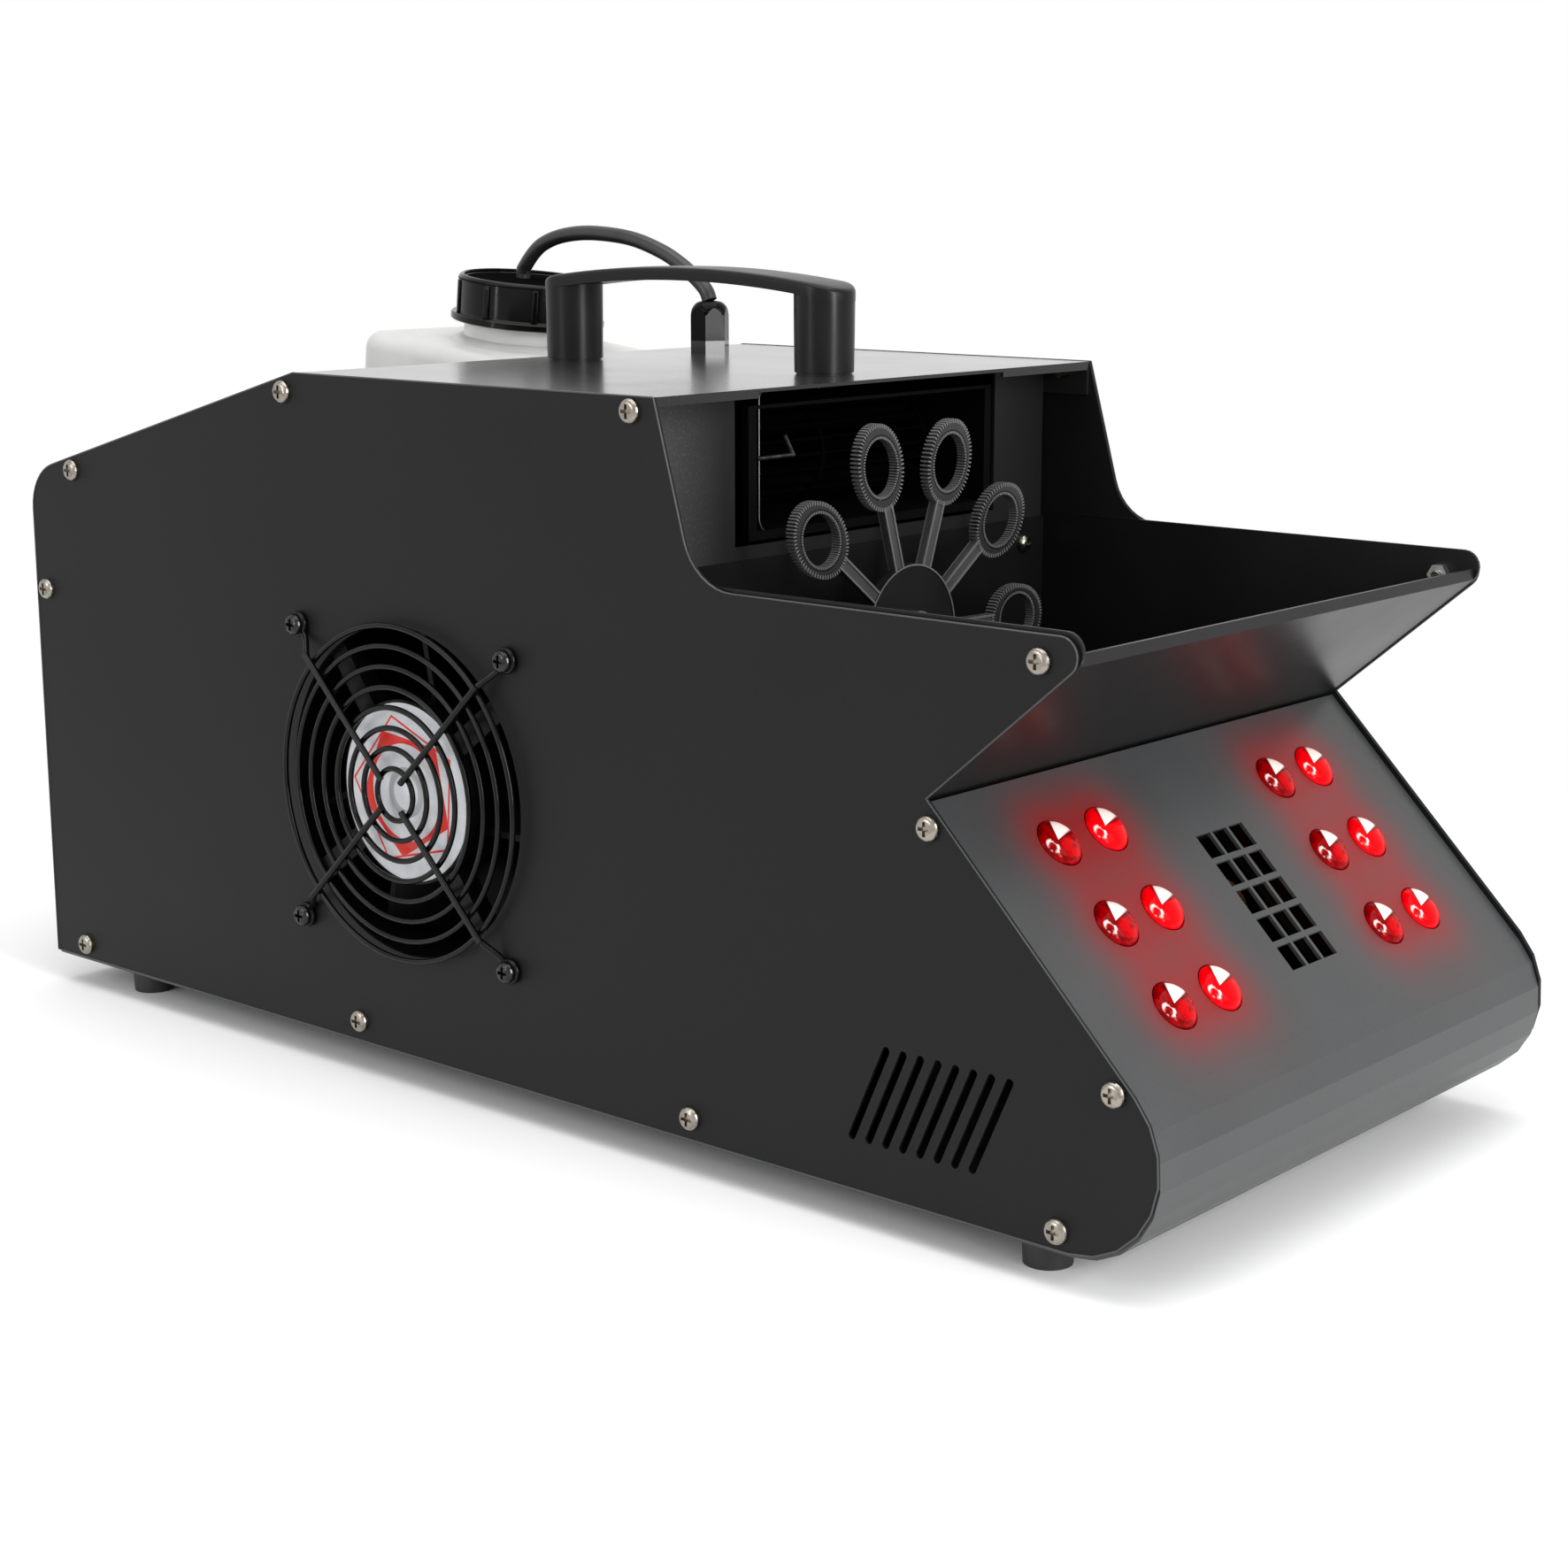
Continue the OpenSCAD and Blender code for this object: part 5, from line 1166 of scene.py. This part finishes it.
class FOG_OT_fan(bpy.types.Operator):
    """Wire finger guard of the side fan, and its label"""

    bl_idname = "fog.fan"
    bl_label = "Side fan"

    def execute(self, context):
        fan = settings_of("fan")
        low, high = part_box("fan_guard")
        centre = middle(low, high)
        legs_y = low.y + fan.leg_wire
        rings_y = legs_y + fan.ring_wire + fan.leg_wire - fan.weld
        radii = [fan.largest - k * fan.pitch for k in range(fan.rings)]
        work = bmesh.new()
        for radius in radii:
            self.ring(work, Vector((centre.x, rings_y, centre.z)), radius, fan.ring_wire)
        for corners in islands(NODES["guard_screws"]):
            way = centre_of(corners) - centre
            way.y = 0
            self.leg(work, fan, centre, way, radii[-1], (legs_y, high.y - fan.leg_wire))
        lacquer = moulded("guard lacquer", grey(0.002), 0.16, 0.00001, 900, gloss=0.2)
        piece = finished("finger_guard", work, [lacquer], "case", 60)
        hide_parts("fan_guard")
        dress(self.label_finish(fan, centre), "fan_label")
        return {"FINISHED"}

    def ring(self, work, centre, radius, wire):
        """Wire ring round the direction of the fan's axis."""
        start = Matrix.Translation(centre + Vector((radius, 0, 0)))
        made = bmesh.ops.create_circle(work, segments=12, radius=wire, matrix=start)["verts"]
        spin(work, made, edges_of(made), centre, (0, 1, 0), 96)

    def leg(self, work, fan, centre, way, innermost, heights):
        """Leg that carries the rings and steps down to a loop round its screw."""
        over, down = heights
        out, reach = way.normalized(), way.length
        spots = (
            (innermost - 0.002, over), (innermost + 0.01, over), (fan.largest, over),
            (fan.largest + 0.003, over + 0.0004), (reach - fan.loop - 0.0035, down - 0.0008),
            (reach - fan.loop, down),
        )
        line = [Vector((centre.x + out.x * r, y, centre.z + out.z * r)) for r, y in spots]
        sweep(work, smooth_line(line, 5), fan.leg_wire)
        eye = Vector((centre.x + way.x, down, centre.z + way.z))
        self.ring(work, eye, fan.loop, fan.leg_wire)

    def label_finish(self, fan, centre):
        """Silver label with a solid and a thin red pentagon and a grey ring."""
        material, tree, shader, coords = start_finish("fan label", fan.paper, 0.32, gloss=0.5)
        local = mapped(tree, coords, Location=(-centre.x, 0, -centre.z), Scale=(1, 0, 1))
        reach = away_from(tree, local)
        parts = apart(tree, local)
        angle = calculate(tree, "ARCTAN2", parts[2], parts[0])

        def band(distance, radius, half):
            """1 within half a width of a radius."""
            gap = calculate(tree, "ABSOLUTE", calculate(tree, "SUBTRACT", distance, radius))
            return spread(tree, gap, 1, 0, half, half + BLUR)

        def pentagon(corner):
            """Distance from the middle, square to the sides of a pentagon with a corner at this angle."""
            fold = calculate(tree, "SUBTRACT", angle, corner)
            fold = calculate(tree, "FLOORED_MODULO", fold, math.tau / 5)
            fold = calculate(tree, "COSINE", calculate(tree, "SUBTRACT", fold, math.pi / 5))
            return calculate(tree, "MULTIPLY", reach, fold)

        inside = spread(tree, pentagon(PRINT_TURN), 1, 0, fan.print_side, fan.print_side + BLUR)
        outside = spread(tree, reach, 0, 1, fan.print_bore, fan.print_bore + BLUR)
        line = band(pentagon(LINE_TURN), fan.line_side, 0.0003)
        printed = calculate(tree, "MAXIMUM", calculate(tree, "MULTIPLY", inside, outside), line)
        cloudy = clouded(tree, noise(tree, coords, 160, 3), fan.paper, 0.86, 1.06)
        ring = band(reach, fan.grey_ring, 0.0012)
        plain = between(tree, ring, cloudy, shade(fan.paper, 0.62))
        tree.links.new(between(tree, printed, plain, tuple(fan.print_red)), shader.inputs["Base Color"])
        relief(tree, noise(tree, coords, 700, 2), 0.00001, shader)
        return material


# --- blower duct ------------------------------------------------------------------------------


class DuctSettings(bpy.types.PropertyGroup):
    left: metres("Left", "Left edge of the mouth", -0.0412)
    right: metres("Right", "Right edge of the mouth", 0.0885)
    low: metres("Low", "Lower edge of the mouth", 0.1962)
    high: metres("High", "Upper edge of the mouth", 0.2448)
    corner: metres("Corner", "Rounding of its corners", 0.005)
    lip: metres("Lip", "Radius of the lip", 0.00032)


class FOG_OT_duct(bpy.types.Operator):
    """Bright lip of the blower's duct"""

    bl_idname = "fog.duct"
    bl_label = "Blower duct"

    def execute(self, context):
        duct = settings_of("duct")
        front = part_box("blower_housing")[1].x - duct.lip
        left, right = duct.left + duct.corner, duct.right - duct.corner
        low, high = duct.low + duct.corner, duct.high - duct.corner
        spots = []
        for number, (y, z) in enumerate(((left, low), (right, low), (right, high), (left, high))):
            for turn in quarter_turn(6):
                turn += math.pi + QUARTER * number
                round_way = Vector((0, math.cos(turn), math.sin(turn)))
                spots.append(Vector((front, y, z)) + round_way * duct.corner)
        work = bmesh.new()
        sweep(work, spots + [spots[0]], duct.lip, 6)
        lip = plated("duct lip", grey(0.3), 0.35, grey(0.12))
        finished("duct_lip", work, [lip], "case", 60)
        return {"FINISHED"}


# --- suction hose -----------------------------------------------------------------------------

# The route of part.scad, in metres of the row frame
HOSE_ROUTE = [Vector(point) * MM for point in (
    (-63.5, 62.3, 265.9), (-65.6, 62.3, 269.9), (-71.9, 62.3, 275), (-79.5, 62.3, 279.7),
    (-88.4, 62.3, 283.8), (-101.9, 62.3, 287.9), (-115.6, 62.3, 289.8), (-130.5, 62.3, 290.3),
    (-143.6, 62.1, 288.8), (-153.1, 61.9, 285.7), (-158.8, 61.7, 281.7),
)]
HOSE_END = Vector((-164.63, 61.7, 273.83)) * MM


class HoseSettings(bpy.types.PropertyGroup):
    diameter: metres("Diameter", "Diameter of the hose", 0.0058)
    rise: metres("Rise", "Height over the cap at which the hose has turned down", 0.002)
    sink: metres("Reach into cap", "Rise of the hose's end over the cap", -0.0019)


class FOG_OT_hose(bpy.types.Operator):
    """Suction hose between the gland and the cap of the jug"""

    bl_idname = "fog.hose"
    bl_label = "Suction hose"

    def execute(self, context):
        hose = settings_of("hose")
        lift = Vector(joint("jug_lift")["axis"])
        line = smooth_line(HOSE_ROUTE + [HOSE_END + lift * hose.rise], 4) + [HOSE_END + lift * hose.sink]
        work = bmesh.new()
        sweep(work, line, hose.diameter / 2, 16)
        piece = finished("hose", work, [rubber("hose rubber", grey(0.012), 0.36)], None, 50)
        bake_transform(piece)
        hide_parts("suction_hose")
        return {"FINISHED"}


# --- handle -----------------------------------------------------------------------------------

# Width of the slit along the bar's middle, which is then merged away
THIN = 0.1 * MM


class HandleSettings(bpy.types.PropertyGroup):
    fall: metres("Fall", "Fall of the bar from its middle to a leg", 0.0038)
    depth: metres("Depth", "Thickness of the bar", 0.0045)
    crown: metres("Crown", "Rise of the bar's top from its edges to its middle", 0.0002)
    round_top: metres("Top rounding", "Rounding of the bar's upper edge", 0.0016)
    round_end: metres("End rounding", "Extra fall at the tips", 0.0012)
    foot: metres("Foot", "How much narrower a leg is at its foot", 0.0004)
    foot_edge: metres("Foot edge", "Depth of the groove round a leg's foot", 0.0006)
    plastic: tint("Plastic", "Colour of the handle", grey(0.004))


class FOG_OT_handle(bpy.types.Operator):
    """Carrying handle: a bowed bar that flows into two round legs"""

    bl_idname = "fog.handle"
    bl_label = "Handle"

    def execute(self, context):
        handle = settings_of("handle")
        low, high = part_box("handle")
        centre = middle(low, high)
        radius = (high.y - low.y) / 2
        half = (high.x - low.x) / 2 - radius
        bow_radius = (half**2 + handle.fall**2) / 2 / handle.fall

        def top_at(x):
            """Height of the bar's upper edge."""
            away = abs(x - centre.x)
            past = max(0.0, away - half) / radius
            bow = bow_radius - math.sqrt(bow_radius**2 - away**2)
            return high.z - bow - handle.round_end * past**2

        def outline(inset):
            """Stadium round both legs, pulled in by so much."""
            reach = radius - inset
            spots = []
            for end in (1, -1):
                for k in range(25):
                    turn = math.pi * k / 24 - end * QUARTER
                    spots.append((centre.x + end * half + reach * math.cos(turn), reach * math.sin(turn)))
                for k in range(1, 24):
                    spots.append((centre.x + end * half * (1 - k / 12), end * reach))
            return spots

        work = bmesh.new()
        loops = []
        for inset, drop in self.bar_section(handle, radius):
            spots = [(x, centre.y + y, top_at(x) - drop) for x, y in outline(inset)]
            loops.append(closed_loop(work, spots))
        bridge(work, loops)
        slits = dict.fromkeys(vert for edge in loops[0] + loops[-1] for vert in edge.verts)
        bmesh.ops.remove_doubles(work, verts=list(slits), dist=THIN * 2.5)
        for x in (centre.x + half, centre.x - half):
            self.leg(work, handle, Vector((x, centre.y, low.z)), top_at(x), radius)
        bmesh.ops.recalc_face_normals(work, faces=work.faces)
        plastic = moulded("handle plastic", handle.plastic, 0.32, 0.00001, 1500, gloss=0.2)
        piece = finished("carrying_handle", work, [plastic], "case", 35)
        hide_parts("handle")
        return {"FINISHED"}

    def bar_section(self, handle, radius):
        """Section of the bar as (inset, drop), from the middle of its underside to that of its top."""
        soft = handle.round_top
        section = [(radius - THIN, handle.depth), (0.004, handle.depth), (0, handle.depth)]
        for turn in (0, 0.3, 0.6, 0.9, 1.2, QUARTER):
            section.append((soft * (1 - math.cos(turn)), soft * (1 - math.sin(turn))))
        return section + [(soft + 0.003, -handle.crown / 2), (radius - THIN, -handle.crown)]

    def leg(self, work, handle, foot, top, radius):
        """Round leg that widens upwards, over a thin groove."""
        rise = top - handle.depth * 0.7 - foot.z
        narrow, groove = radius - handle.foot, handle.foot_edge
        stations = (
            (0.0, narrow - groove), (groove, narrow - groove), (groove + THIN, narrow),
            (rise * 0.5, radius - handle.foot * 0.5), (rise, radius - THIN),
        )
        rings = []
        for height, wide in stations:
            place = Matrix.Translation(foot + Vector((0, 0, height)))
            rings.append(circle(work, wide, 72, place))
        bridge(work, rings, ends=True)


# --- gland and cap ----------------------------------------------------------------------------

# Small roundings and bevels of the cap
NICK = 0.4 * MM
# Clearance of the cap round the neck, and how far a rib reaches into the cap's wall
CAP_GAP, RIB_ROOT = 0.35 * MM, 1 * MM
# Turn of the cap's first rib
RIB_PHASE = math.radians(0.9)


class CapSettings(bpy.types.PropertyGroup):
    rim: metres("Rim", "Width of the cap's rim", 0.0022)
    round_rim: metres("Rim rounding", "Rounding of the cap's upper edge", 0.0018)
    recess: metres("Recess", "Depth of the cap's top below its rim", 0.0016)
    top: metres("Top", "Thickness of the cap's top", 0.0012)
    flange: metres("Flange", "Height of the cap's flange", 0.0029)
    flange_reach: metres("Flange reach", "Reach of the flange past the cap's wall", 0.0023)
    wall: metres("Wall", "Thickness of the cap's wall", 0.0023)
    ribs: count("Ribs", "Grip ribs round the cap", 9)
    rib: several("Rib", "Width and rise of a grip rib", (0.0026, 0.0008), "LENGTH")
    dome: metres("Nut dome", "Height of the gland nut's rounded top", 0.0052)
    nut_hole: metres("Nut hole", "Radius of the hole in the gland nut", 0.0034)
    nut_bore: metres("Nut bore", "Depth of the hole in the gland nut", 0.003)


class FOG_OT_cap(bpy.types.Operator):
    """Ribbed cap of the jug, and the domed nut of the hose gland"""

    bl_idname = "fog.cap"
    bl_label = "Cap and gland nut"

    def execute(self, context):
        cap, jug = settings_of("cap"), settings_of("jug")
        base, stand = jug_stand(jug)
        up = stand.col[2].xyz
        high = max(vert.co.dot(up) for vert in NODES["jug_cap"].data.vertices)
        tall = high - base.dot(up) - jug.cap_foot
        outer = jug.neck + CAP_GAP + cap.wall
        work = bmesh.new()
        turned(work, self.cap_section(cap, outer, tall), (0, 0, 0), (0, 0, 1), 96)
        deep = tall - cap.recess
        paint([face for face in work.faces if abs(face.calc_center_median().z - deep) < THIN], 1)
        self.ribs(work, cap, outer, tall - cap.flange - cap.round_rim)
        foot = Matrix.Translation((jug.neck_forward, 0, jug.cap_foot))
        settle(work, Matrix.Translation(base) @ stand @ foot)
        plastic = moulded("cap plastic", grey(0.002), 0.12, gloss=0.16)
        floor = moulded("cap top plastic", grey(0.004), 0.5, gloss=0.0)
        piece = finished("jug_cap_ribbed", work, [plastic, floor], "cap", 40)
        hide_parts("jug_cap")
        self.gland_nut(cap)
        return {"FINISHED"}

    def cap_section(self, cap, outer, tall):
        """Half section of the cap as (radius, 0, height), from the middle of its top, round to below it."""
        inner, edge, rim = outer - cap.wall, outer + cap.flange_reach, outer - cap.rim
        deep, soft, flange = tall - cap.recess, cap.round_rim, cap.flange
        section = [(0, deep), (rim - 0.0003, deep), (rim, deep + 0.0003), (rim, tall - NICK)]
        section.append((rim + NICK, tall))
        for turn in reversed(quarter_turn(6)):
            section.append((outer - soft + soft * math.cos(turn), tall - soft + soft * math.sin(turn)))
        section += [(outer, flange + NICK), (outer + NICK, flange), (edge - 0.0006, flange)]
        section += [(edge, flange - 0.0006), (edge, 0.0005), (edge - 0.0005, 0), (inner, 0)]
        section += [(inner, deep - cap.top), (0, deep - cap.top)]
        return [(radius, 0, height) for radius, height in section]

    def ribs(self, work, cap, outer, tall):
        """Grip ribs that stand on the flange."""
        wide, rise = cap.rib
        for k in range(cap.ribs):
            turn = Matrix.Rotation(math.tau * k / cap.ribs + RIB_PHASE, 4, "Z")
            spot = (outer - RIB_ROOT + rise / 2, 0, cap.flange - 0.0002 + tall / 2)
            made = block(work, turn @ Matrix.Translation(spot), (RIB_ROOT * 2 + rise, wide, tall))
            soften(work, edges_of(made), 0.0005, 3)

    def gland_nut(self, cap):
        """Hexagon nut whose rounded top closes round the hose."""
        low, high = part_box("gland_nut")
        centre = middle(low, high)
        corner = (high.x - low.x) / 2
        flat = corner * math.cos(math.pi / 6)
        stations = [(low.z, corner), (high.z - cap.dome, corner)]
        for turn in quarter_turn(12)[1:]:
            fall = cap.dome * (1 - math.sin(turn))
            closing = (corner - cap.nut_hole) * (1 - math.cos(turn)) ** 0.8
            stations.append((high.z - fall, corner - closing))
        stations.append((high.z - cap.nut_bore, cap.nut_hole))
        turns = [math.tau * k / 72 for k in range(72)]
        work = bmesh.new()
        loops = []
        for height, reach in stations:
            spots = []
            for turn in turns:
                wide = min(reach, flat / math.cos(turn % (math.pi / 3) - math.pi / 6))
                spots.append((centre.x + wide * math.cos(turn), centre.y + wide * math.sin(turn), height))
            loops.append(closed_loop(work, spots))
        bridge(work, loops)
        bmesh.ops.recalc_face_normals(work, faces=work.faces)
        plastic = moulded("nut plastic", grey(0.002), 0.1, gloss=0.07)
        piece = finished("gland_nut_domed", work, [plastic], "case", 28)
        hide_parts("gland_nut")


# --- jug --------------------------------------------------------------------------------------


class JugSettings(bpy.types.PropertyGroup):
    size: several("Size", "Size of the jug's body", (0.095, 0.088, 0.149), "LENGTH")
    neck_forward: metres("Neck forward", "How far the neck stands in front of the middle", 0.003)
    cap_foot: metres("Cap foot", "Height of the cap's lower edge", 0.1574)
    neck: metres("Neck", "Radius of the neck", 0.0257)
    corner: metres("Corner", "Rounding of the corners", 0.007)
    plastic: tint("Plastic", "Colour of the jug", (0.8, 0.8, 0.79))


def jug_stand(jug):
    """Middle of the jug's underside, and the axes of the leaning jug."""
    cap = joint("cap_turn")
    up = Vector(cap["axis"]).normalized()
    side = Vector((0, 1, 0))
    ahead = side.cross(up).normalized()
    base = Vector(cap["pos_m"]) - up * jug.cap_foot - ahead * jug.neck_forward
    return base, Matrix((ahead, side, up)).transposed().to_4x4()


class FOG_OT_jug(bpy.types.Operator):
    """Translucent fluid jug"""

    bl_idname = "fog.jug"
    bl_label = "Jug"

    def execute(self, context):
        jug = settings_of("jug")
        base, stand = jug_stand(jug)
        tall = jug.size[2]
        work = bmesh.new()
        block(work, Matrix.Translation((0, 0, tall / 2)), jug.size)
        soften(work, list(work.edges), jug.corner, 6)
        shoulder = (tall - 0.001, tall + 0.0022, jug.neck * 1.2, jug.neck * 1.03)
        neck = (tall + 0.002, jug.cap_foot + 0.002, jug.neck * 0.98, jug.neck * 0.98)
        for low, high, wide, narrow in (shoulder, neck):
            bmesh.ops.create_cone(
                work, cap_ends=True, segments=64, radius1=wide, radius2=narrow, depth=high - low,
                matrix=Matrix.Translation((jug.neck_forward, 0, (low + high) / 2)),
            )
        settle(work, Matrix.Translation(base) @ stand)
        piece = finished("fluid_jug", work, [self.jug_finish(jug)], "jug", 50)
        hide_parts("jug")
        return {"FINISHED"}

    def jug_finish(self, jug):
        """Milky plastic that lets some light through."""
        material = moulded("jug plastic", jug.plastic, 0.34, 0.00004, 260)
        shader = material.node_tree.nodes["Principled BSDF"]
        shader.inputs["Subsurface Weight"].default_value = 0.5
        shader.inputs["Subsurface Radius"].default_value = grey(0.01)
        shader.inputs["Transmission Weight"].default_value = 0.25
        return material


# --- panel and run ----------------------------------------------------------------------------

STEPS = ("stage", "case", "fittings", "lenses", "wheel", "fan", "duct", "hose", "handle", "cap", "jug")
GROUPS = {
    "camera": CameraSettings, "stage": StageSettings, "case": CaseSettings, "lens": LensSettings,
    "wheel": WheelSettings, "fan": FanSettings, "duct": DuctSettings, "hose": HoseSettings,
    "handle": HandleSettings, "cap": CapSettings, "jug": JugSettings,
}
OPERATORS = (
    FOG_OT_stage, FOG_OT_case, FOG_OT_fittings, FOG_OT_lenses, FOG_OT_wheel, FOG_OT_fan, FOG_OT_duct,
    FOG_OT_hose, FOG_OT_handle, FOG_OT_cap, FOG_OT_jug,
)


class FOG_PT_looks(bpy.types.Panel):
    """Lists the steps that dress the fog machine"""

    bl_idname = "FOG_PT_looks"
    bl_label = "Fog Machine"
    bl_space_type = "VIEW_3D"
    bl_region_type = "UI"
    bl_category = "Fog Machine"

    def draw(self, context):
        for step in STEPS:
            self.layout.operator("fog." + step)


def register():
    for kind in (*GROUPS.values(), *OPERATORS, FOG_PT_looks):
        bpy.utils.register_class(kind)
    for name, kind in GROUPS.items():
        setattr(bpy.types.Scene, "fog_" + name, bpy.props.PointerProperty(type=kind))


def unregister():
    for name in GROUPS:
        delattr(bpy.types.Scene, "fog_" + name)
    for kind in (FOG_PT_looks, *reversed(OPERATORS), *reversed(GROUPS.values())):
        bpy.utils.unregister_class(kind)


def main():
    register()
    for step in STEPS:
        getattr(bpy.ops.fog, step)()
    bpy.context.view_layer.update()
    write_points(settings_of("camera"))


if __name__ == "__main__":
    main()
